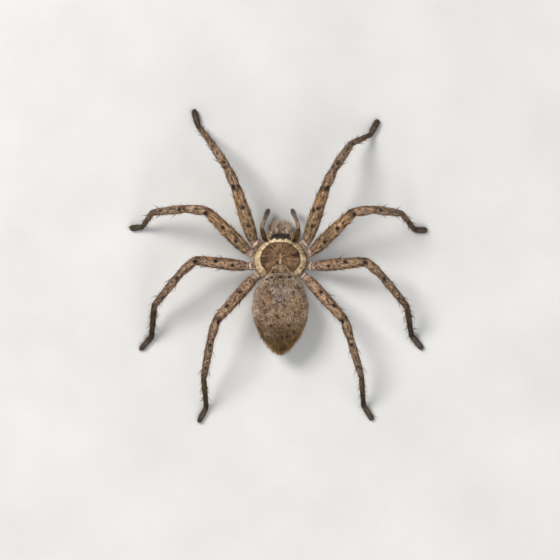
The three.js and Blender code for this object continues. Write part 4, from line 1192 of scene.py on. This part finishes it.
def bodyColour(tree):  # the tint of skin and hair alike, broken by its specks
    tint = addNode(tree, "ShaderNodeAttribute", attribute_name="tint")
    flow = addNode(tree, "ShaderNodeAttribute", attribute_name="flow")
    noise = noiseNode(
        tree, speckLook["scale"], speckLook["detail"], speckLook["roughness"], flow.outputs["Vector"],
    )
    broken = vector2(tree, "SCALE", rampNode(tree, noise, speckLook["stops"]), scale=speckLook["gain"])
    return mixNode(tree, "MULTIPLY", tint.outputs["Alpha"], tint.outputs["Color"], broken)


def skinMaterial():
    material, tree, shader = newMaterial("skin", skinLook["roughness"], skinLook["gloss"])
    fine = rampNode(tree, noiseNode(tree, *skinLook["noise"]), skinLook["stops"])
    linkTo(
        tree, shader, Base_Color=mixNode(tree, "MULTIPLY", skinLook["strength"], bodyColour(tree), fine),
    )
    addRelief(tree, shader, *skinLook["relief"])
    return material


def coatMaterial():
    material, tree, shader = newMaterial("coat", coatLook["roughness"], coatLook["gloss"])
    shade = addNode(tree, "ShaderNodeAttribute", attribute_name="shade").outputs["Fac"]
    strand = addNode(tree, "ShaderNodeAttribute", attribute_name="strand").outputs["Fac"]
    colour = mixNode(tree, "MULTIPLY", 1.0, bodyColour(tree), rampNode(tree, shade, coatLook["hair"]))
    colour = mixNode(tree, "MULTIPLY", 1.0, colour, rampNode(tree, strand, coatLook["strand"]))
    linkTo(tree, shader, Base_Color=vector2(tree, "SCALE", colour, scale=coatLook["gain"]))
    return material


def eyeMaterial():
    material, tree, shader = newMaterial("eye", eyeLook["roughness"], eyeLook["gloss"])
    linkTo(tree, shader, Base_Color=rampNode(tree, noiseNode(tree, *eyeLook["noise"]), eyeLook["stops"]))
    return material


def hornMaterial(name):
    dark, light, roughness = hornKinds[name]
    material, tree, shader = newMaterial(name, roughness)
    stops = zip(hornLook["places"], (dark, light))
    linkTo(tree, shader, Base_Color=rampNode(tree, noiseNode(tree, *hornLook["noise"]), [*stops]))
    addRelief(tree, shader, *hornLook["relief"])
    return material


def floorMaterial():
    material, tree, shader = newMaterial("floor", floorLook["roughness"])
    linkTo(
        tree, shader,
        Base_Color=rampNode(tree, noiseNode(tree, *floorLook["noise"]), floorLook["stops"]),
    )
    return material


# hairs one unit long: short ones are three-sided points, long ones have a bend in the middle
hairForms = {  # three kinds of each, width and sideways bend of the tip as shares of the length
    "Under": {"widths": (0.1, 0.125, 0.09), "bends": (0.12, 0.2, 0.05)},
    "Guard": {"widths": (0.085, 0.105, 0.075), "bends": (0.1, 0.16, 0.05), "middle": 0.5},
}


def hairMesh(name, width, bend, middle=None):
    turn = 2 * np.pi * np.arange(3) / 3
    ring = np.stack([np.cos(turn), np.sin(turn), 0 * turn], -1)
    rows = [ring * width / 2]
    if middle:
        rows.append(ring * width * 0.42 + (-0.3 * bend, 0, middle))
    last = 3 * len(rows)
    faces = [(2, 1, 0)]
    uvs = [(0, 0), (0.3, 0), (0.15, 0.06)]
    foot = 0.5 if middle else 0
    for j in range(3):
        k = (j + 1) % 3
        if middle:
            faces.append((j, k, 3 + k, 3 + j))
            uvs += [(j / 3, 0), ((j + 1) / 3, 0), ((j + 1) / 3, foot), (j / 3, foot)]
        faces.append((last - 3 + j, last - 3 + k, last))
        uvs += [(j / 3, foot), ((j + 1) / 3, foot), ((j + 0.5) / 3, 1)]
    points = np.concatenate(rows + [[(-bend, 0, 1)]])
    mesh = bpy.data.meshes.new(name)
    mesh.from_pydata(points.tolist(), [], faces)
    setField(mesh, "strand", "FLOAT", points[:, 2])
    setField(mesh, "patch", "FLOAT2", np.array(uvs), "CORNER")
    mesh.shade_smooth()
    return bpy.data.objects.new(name, mesh)


# geometry nodes: hairs over the skin, and spines on given points
def newTree(name, inputs):
    tree = bpy.data.node_groups.new(name, "GeometryNodeTree")
    tree.interface.new_socket("Geometry", in_out="INPUT", socket_type="NodeSocketGeometry")
    for label, kind in inputs:
        tree.interface.new_socket(label, in_out="INPUT", socket_type=f"NodeSocket{kind}")
    tree.interface.new_socket("Geometry", in_out="OUTPUT", socket_type="NodeSocketGeometry")
    return tree, addNode(tree, "NodeGroupInput").outputs, addNode(tree, "NodeGroupOutput")


def asInstance(tree, piece):
    info = addNode(tree, "GeometryNodeObjectInfo")
    return linkTo(tree, info, Object=piece, As_Instance=True).outputs["Geometry"]


def turnTo(tree, way, side):  # z along the way, x to the side
    turn = addNode(tree, "FunctionNodeAxesToRotation", primary_axis="Z", secondary_axis="X")
    return linkTo(tree, turn, Primary_Axis=way, Secondary_Axis=side).outputs[0]


layerInputs = {
    "Density": "Float", "Length": "Float", "Slimness": "Float", "Lift": "Float", "Spread": "Float",
    "Clump": "Float", "Seed": "Int",
}
layerWeights = {"Under": "thick", "Guard": "erect"}  # the field of the skin that each layer grows by
clumpScale = 900.0  # waves per metre in which neighbouring hairs lean together
hairSizes = (0.65, 1.25)  # how much the hairs of a layer differ in length


def hairLayerTree(name, hairs):
    tree, given, out = newTree(name, [*layerInputs.items(), ("Weight", "String")])
    seed, lift = given["Seed"], given["Lift"]
    scatter = addNode(tree, "GeometryNodeDistributePointsOnFaces")
    density = math2(tree, "MULTIPLY", given["Density"], named(tree, given["Weight"], "FLOAT"))
    linkTo(tree, scatter, Mesh=given["Geometry"], Density=density, Seed=seed)
    normal = scatter.outputs["Normal"]
    kept = addNode(tree, "GeometryNodeStoreNamedAttribute", data_type="FLOAT", domain="POINT")
    shade = randomIn(tree, "FLOAT", 0.0, 1.0, math2(tree, "ADD", seed, 7))
    linkTo(tree, kept, Geometry=scatter.outputs["Points"], Name="shade", Value=shade)

    # a hair lies along the coat, is lifted, leans with its neighbours and goes a little astray
    wave = addNode(tree, "ShaderNodeTexNoise")
    place = addNode(tree, "GeometryNodeInputPosition").outputs[0]
    linkTo(tree, wave, Vector=place, Scale=clumpScale, Detail=1.0)
    clump = vector2(tree, "SUBTRACT", wave.outputs["Color"], (0.5, 0.5, 0.5))
    stray = randomIn(tree, "FLOAT_VECTOR", (-1, -1, -1), (1, 1, 1), math2(tree, "ADD", seed, 11))
    lie = vector2(tree, "NORMALIZE", named(tree, "lie", "FLOAT_VECTOR"))
    way = vector2(tree, "SCALE", lie, scale=math2(tree, "COSINE", lift))
    for part, share in (
        (normal, math2(tree, "SINE", lift)), (clump, given["Clump"]), (stray, given["Spread"]),
    ):
        way = vector2(tree, "ADD", way, vector2(tree, "SCALE", part, scale=share))

    size = math2(tree, "MULTIPLY", given["Length"], named(tree, "fur", "FLOAT"))
    size = math2(
        tree, "MULTIPLY", size, randomIn(tree, "FLOAT", *hairSizes, math2(tree, "ADD", seed, 13)),
    )
    thin = math2(tree, "MULTIPLY", size, given["Slimness"])
    scale = linkTo(tree, addNode(tree, "ShaderNodeCombineXYZ"), X=thin, Y=thin, Z=size)
    joined = addNode(tree, "GeometryNodeJoinGeometry")
    for piece in hairs:
        tree.links.new(asInstance(tree, piece), joined.inputs[0])
    instances = addNode(tree, "GeometryNodeInstanceOnPoints")
    index = randomIn(tree, "INT", 0, len(hairs) - 1, math2(tree, "ADD", seed, 17))
    linkTo(
        tree, instances, Points=kept.outputs[0], Instance=joined.outputs[0], Pick_Instance=True,
        Instance_Index=index,
        Rotation=turnTo(tree, vector2(tree, "NORMALIZE", way), normal), Scale=scale.outputs[0],
    )
    tree.links.new(instances.outputs[0], out.inputs[0])
    return tree


def coatTree(layerTrees):
    inputs = [
        (f"{layer} {label}", kind) for layer in layerWeights for label, kind in layerInputs.items()
    ]
    tree, given, out = newTree("coat", inputs + [("Patch", "Float"), ("Material", "Material")])
    joined = addNode(tree, "GeometryNodeJoinGeometry")
    for layer, weight in layerWeights.items():
        group = addNode(tree, "GeometryNodeGroup", node_tree=layerTrees[layer])
        linkTo(tree, group, Geometry=given["Geometry"], Weight=weight)
        for label in layerInputs:
            tree.links.new(given[f"{layer} {label}"], group.inputs[label])
        tree.links.new(group.outputs[0], joined.inputs[0])
    real = addNode(tree, "GeometryNodeRealizeInstances")
    tree.links.new(joined.outputs[0], real.inputs[0])

    # each hair is a small patch of the map, where its root grows
    offset = vector2(tree, "SUBTRACT", named(tree, "patch", "FLOAT_VECTOR"), (0.5, 0.5, 0))
    offset = vector2(tree, "SCALE", offset, scale=given["Patch"])
    spot = vector2(tree, "ADD", named(tree, "rootPlace", "FLOAT_VECTOR"), offset)
    bake = addNode(tree, "GeometryNodeStoreNamedAttribute", data_type="FLOAT2", domain="CORNER")
    last = linkTo(tree, bake, Geometry=real.outputs[0], Name="OFBake", Value=spot).outputs[0]
    for name in ("patch", "rootPlace", "lie", "fur", "thick", "erect"):
        drop = addNode(tree, "GeometryNodeRemoveAttribute")
        last = linkTo(tree, drop, Geometry=last, Name=name).outputs[0]
    painted = addNode(tree, "GeometryNodeSetMaterial")
    linkTo(tree, painted, Geometry=last, Material=given["Material"])
    tree.links.new(painted.outputs[0], out.inputs[0])
    return tree


def madeBy(tree, base, values, name):  # runs a tree on a base object and keeps the plain mesh
    modifier = base.modifiers.new("make", "NODES")
    modifier.node_group = tree
    for item in tree.interface.items_tree:
        if item.in_out == "INPUT" and item.name in values:
            modifier[item.identifier] = values[item.name]
    bpy.context.view_layer.update()
    graph = bpy.context.evaluated_depsgraph_get()
    mesh = bpy.data.meshes.new_from_object(
        base.evaluated_get(graph), preserve_all_data_layers=True, depsgraph=graph,
    )
    mesh.name = name
    base.modifiers.remove(modifier)
    bpy.data.objects.remove(base)
    return addObject(name, mesh)


def weightedArea(mesh, field):  # square metres of skin, counted by how thickly the field grows there
    mesh.calc_loop_triangles()
    corners = np.empty(len(mesh.loop_triangles) * 3, np.int32)
    mesh.loop_triangles.foreach_get("vertices", corners)
    corners = corners.reshape(-1, 3)
    weights = np.empty(len(mesh.vertices), np.float32)
    mesh.attributes[field].data.foreach_get("value", weights)
    a, b, c = pointsOf(mesh)[corners].transpose(1, 0, 2)
    area = np.linalg.norm(np.cross(b - a, c - a), axis=1) / 2
    return float((area * weights[corners].mean(1)).sum())


# pairs are for the under and the guard coat: number of hairs, mm long, radians that they stand up
coats = {
    "abdomen_under": {
        "from": "abdomen", "slot": "abdomen", "hairs": (47000, 0), "lengths": (0.34, 1.15),
        "lifts": (0.35, 0.9), "seed": 101,
    },
    "abdomen_guard": {
        "from": "abdomen", "slot": "abdomen", "hairs": (36000, 3400), "lengths": (0.42, 0.85),
        "lifts": (0.5, 0.9), "seed": 202,
    },
    "head": {
        "slot": "carapace", "hairs": (42000, 1000), "lengths": (0.3, 0.8), "lifts": (0.3, 0.85),
        "seed": 303,
    },
    "face": {
        "slot": "jaw", "hairs": (30000, 2200), "lengths": (0.42, 0.9), "lifts": (0.42, 0.75),
        "seed": 404,
    },
}
for pair in (1, 2, 3, 4):
    coats[f"legs_{pair}"] = {"slot": "leg", "hairs": (43000, 1700), "seed": 404 + 101 * pair}
coatDefaults = {
    "lengths": (0.4, 1.15), "lifts": (0.38, 0.9), "slims": (1.0, 0.5), "spread": 0.22, "clump": 0.7,
}
patchSize = 0.003  # of one hair in the map
lowestHair = 0.01  # mm over the floor


def addCoats(material):
    hairs = {
        layer: [
            hairMesh(f"{layer}{k}", width, bend, form.get("middle"))
            for k, (width, bend) in enumerate(zip(form["widths"], form["bends"]))
        ]
        for layer, form in hairForms.items()
    }
    tree = coatTree({layer: hairLayerTree(f"{layer}Hairs", kinds) for layer, kinds in hairs.items()})
    pieces = []
    for name, own in coats.items():
        coat = {"from": name, **coatDefaults, **own}
        mesh = meshFrom("base", [shell for shell in shells if shell["coat"] == coat["from"]], True)
        values = {"Patch": patchSize, "Material": material}
        for k, (layer, field) in enumerate(layerWeights.items()):
            given = {
                "Density": coat["hairs"][k] / max(weightedArea(mesh, field), 1e-9),
                "Length": coat["lengths"][k] * mm, "Slimness": coat["slims"][k],
                "Lift": coat["lifts"][k], "Spread": coat["spread"], "Clump": coat["clump"],
                "Seed": coat["seed"] + 50 * k,
            }
            values.update({f"{layer} {label}": value for label, value in given.items()})
        piece = madeBy(tree, addObject("base", mesh), values, f"coat_{name}")
        points = pointsOf(piece.data)
        points[:, 2] = np.maximum(points[:, 2], lowestHair * mm)  # no hair goes through the floor
        piece.data.vertices.foreach_set("co", points.ravel())
        piece.data.update()
        pieces.append((piece, coat["slot"]))
        print("coat", name, "triangles", trianglesOf(piece.data))
    for piece in hairs["Under"] + hairs["Guard"]:
        bpy.data.objects.remove(piece)
    return pieces


# eyes, fangs, claws and spines
def ballShell(centre, radius, around, rings):
    a = np.pi * (np.arange(rings) + 0.5) / rings
    turn = 2 * np.pi * np.arange(around) / around
    x = np.sin(a)[:, None] * np.cos(turn)
    y = np.sin(a)[:, None] * np.sin(turn)
    return np.stack([x, y, np.cos(a)[:, None] + 0 * turn], -1) * radius + centre


def gatherShells(name, make, material):
    before = len(shells)
    make()
    parts = shells[before:]
    del shells[before:]
    return addObject(name, meshFrom(name, parts, False), material)


def makeEyes():
    for name in eyes:
        for side in sides.values():
            centre, radius = eyeSpot(name, side)
            ball = ballShell(centre, radius * 0.98, eyeForm["around"], eyeForm["rings"])
            addBareShell(ball, (0.01, 0.01, 0.01))


fang = {  # in mm, like everything on the body
    "root": (1.8, -7.9, 1.75), "bend": (1.2, -8.5, 0.8), "tip": (0.3, -7.2, 0.95), "radius": 0.34,
    "taper": 0.86, "rows": 30, "around": 20,
}


def makeFangs():
    for side in sides.values():
        stops = [onSide(fang[key], side) for key in ("root", "bend", "tip")]
        t = np.linspace(0, 1, fang["rows"])
        radius = fang["radius"] * (1 - fang["taper"] * t**1.2) * roundedEnds(t * 3, 0.12)
        rings, _, _ = tubeRings(bezier(*stops, fang["rows"]), radius, radius, fang["around"])
        addBareShell(rings)


claw = {  # stops are shares of the length along the toe and of the spread across it, and mm up
    "stops": [(0, 0.6, 0.1), (0.75, 1.1, 0.22), (0.98, 1.3, -0.2)], "length": 0.62, "spread": 0.22,
    "radius": 0.075, "taper": 0.85, "floorGap": 0.1, "rows": 12, "around": 8,
}


def makeClaws():
    t = np.linspace(0, 1, claw["rows"])
    radius = claw["radius"] * (1 - claw["taper"] * t)
    for centres, _, _ in legLines.values():
        along, side, up = (axis[-1] for axis in tubeAxes(centres))
        for hand in (1, -1):
            ahead, across = along * claw["length"], side * hand * claw["spread"]
            stops = [centres[-4] + ahead * a + across * b + up * c for a, b, c in claw["stops"]]
            line = bezier(*stops, claw["rows"])
            line[:, 2] = np.maximum(line[:, 2], claw["floorGap"])
            addBareShell(tubeRings(line, radius, radius, claw["around"])[0])


spines = {  # place along the leg, turn about it in degrees from the top, length in mm
    "places": [
        (1.34, 0, 1.7), (1.66, 0, 1.8), (1.5, 78, 1.8), (1.8, 74, 1.7), (1.5, -78, 1.8), (1.8, -74, 1.7),
        (3.1, 0, 1.6), (3.68, 0, 1.5), (3.25, 84, 1.9), (3.74, 84, 1.9), (3.25, -84, 1.9),
        (3.74, -84, 1.9), (3.5, 150, 2.0), (3.5, -150, 2.0), (4.22, 88, 1.9), (4.55, 88, 1.8),
        (4.22, -88, 1.9), (4.55, -88, 1.8),
    ],
    "lean": 62, "leanVaries": 8,  # degrees from upright on the leg
    "radius": 0.085, "bow": 0.12, "sunk": 0.3, "hidden": 0.35, "lengthVaries": 0.12, "rows": 9,
    "around": 8, "seed": 41,
}


def spineTree(spine):
    tree, given, out = newTree("spines", [("Material", "Material")])
    turn = turnTo(tree, named(tree, "way", "FLOAT_VECTOR"), named(tree, "outwards", "FLOAT_VECTOR"))
    scale = linkTo(
        tree, addNode(tree, "ShaderNodeCombineXYZ"), X=mm, Y=mm, Z=named(tree, "reach", "FLOAT"),
    )
    instances = addNode(tree, "GeometryNodeInstanceOnPoints")
    linkTo(
        tree, instances, Points=given["Geometry"], Instance=asInstance(tree, spine), Rotation=turn,
        Scale=scale.outputs[0],
    )
    real = addNode(tree, "GeometryNodeRealizeInstances")
    tree.links.new(instances.outputs[0], real.inputs[0])
    painted = addNode(tree, "GeometryNodeSetMaterial")
    linkTo(tree, painted, Geometry=real.outputs[0], Material=given["Material"])
    tree.links.new(painted.outputs[0], out.inputs[0])
    return tree


def spineMesh():  # one spine of unit length, standing on the origin
    t = np.linspace(0, 1, spines["rows"])
    centres = np.stack([-spines["bow"] * t**2, 0 * t, t], -1)
    turn = 2 * np.pi * np.arange(spines["around"]) / spines["around"]
    taper = spines["radius"] * np.interp(t, [0, 0.25, 1], [0.9, 1, 0.12])
    circle = np.stack([np.cos(turn), np.sin(turn), 0 * turn], -1)
    addBareShell(centres[:, None] + circle[None] * taper[:, None, None])
    shape = shells.pop()
    mesh = bpy.data.meshes.new("spine")
    mesh.from_pydata(shape["points"].tolist(), [], shape["faces"])
    mesh.shade_smooth()
    return mesh


def addSpines(material):
    s = spines
    random = np.random.default_rng(s["seed"])
    points, ways, outs, reaches = [], [], [], []
    for centres, mark, radius in legLines.values():
        along, side, up = tubeAxes(centres)
        for place, degrees, length in s["places"]:
            i = int(np.argmin(np.abs(mark - place)))
            turn = math.radians(degrees)
            out = up[i] * math.cos(turn) + side[i] * math.sin(turn)
            lean = math.radians(s["lean"] + s["leanVaries"] * random.uniform(-1, 1))
            points.append(centres[i] + out * (radius[i] - s["sunk"]))
            ways.append(out * math.cos(lean) + along[i] * math.sin(lean))
            outs.append(out)
            reaches.append((length + s["hidden"]) * (1 + s["lengthVaries"] * random.uniform(-1, 1)) * mm)
    mesh = bpy.data.meshes.new("spinePoints")
    mesh.from_pydata(((np.array(points) + bodyShift) * mm).tolist(), [], [])
    setField(mesh, "way", "FLOAT_VECTOR", np.array(ways))
    setField(mesh, "outwards", "FLOAT_VECTOR", np.array(outs))
    setField(mesh, "reach", "FLOAT", np.array(reaches))
    one = bpy.data.objects.new("spine", spineMesh())
    piece = madeBy(spineTree(one), addObject("spinePoints", mesh), {"Material": material}, "spines")
    bpy.data.objects.remove(one)
    return piece


# the whole spider
def isFlesh(name):
    return not name.startswith(("eye_", "fang_"))


addCamera()
addLights()
print("camera and lights set")

addCarapace()
addUnderBody()
print("carapace and the parts under it shaped")
addAbdomen()
addSpinnerets()
print("abdomen and spinnerets shaped")
addJaws()
addPalps()
print("jaws and palps shaped")
addLegs()
print("legs shaped")
skin = addObject("skin", meshFrom("skin", shells, False), skinMaterial())
print("skin made, triangles", trianglesOf(skin.data))

coatPieces = addCoats(coatMaterial())
print("coats made")

eyePiece = gatherShells("eyes", makeEyes, eyeMaterial())
fangPiece = gatherShells("fangs", makeFangs, hornMaterial("fang"))
clawPiece = gatherShells("claws", makeClaws, hornMaterial("claw"))
spinePiece = addSpines(hornMaterial("spine"))
print("eyes, fangs, claws and spines made")

floorMesh = bpy.data.meshes.new("floor")
floorCorners = [
    (x * floorLook["reach"], y * floorLook["reach"], 0) for x, y in ((-1, -1), (1, -1), (1, 1), (-1, 1))
]
floorMesh.from_pydata(floorCorners, [], [(0, 1, 2, 3)])
floor = addObject("floor", floorMesh, floorMaterial())

for piece, slot in [
    (skin, "leg"), (eyePiece, "eye"), (fangPiece, "fang"), (clawPiece, "foot"), (spinePiece, "leg"),
    *coatPieces,
]:
    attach(piece, "root")
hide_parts(*[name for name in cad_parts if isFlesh(name)])
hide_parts(*[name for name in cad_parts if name.startswith("eye_")])
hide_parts(*[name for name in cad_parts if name.startswith("fang_")])
print("pieces placed on the frame")
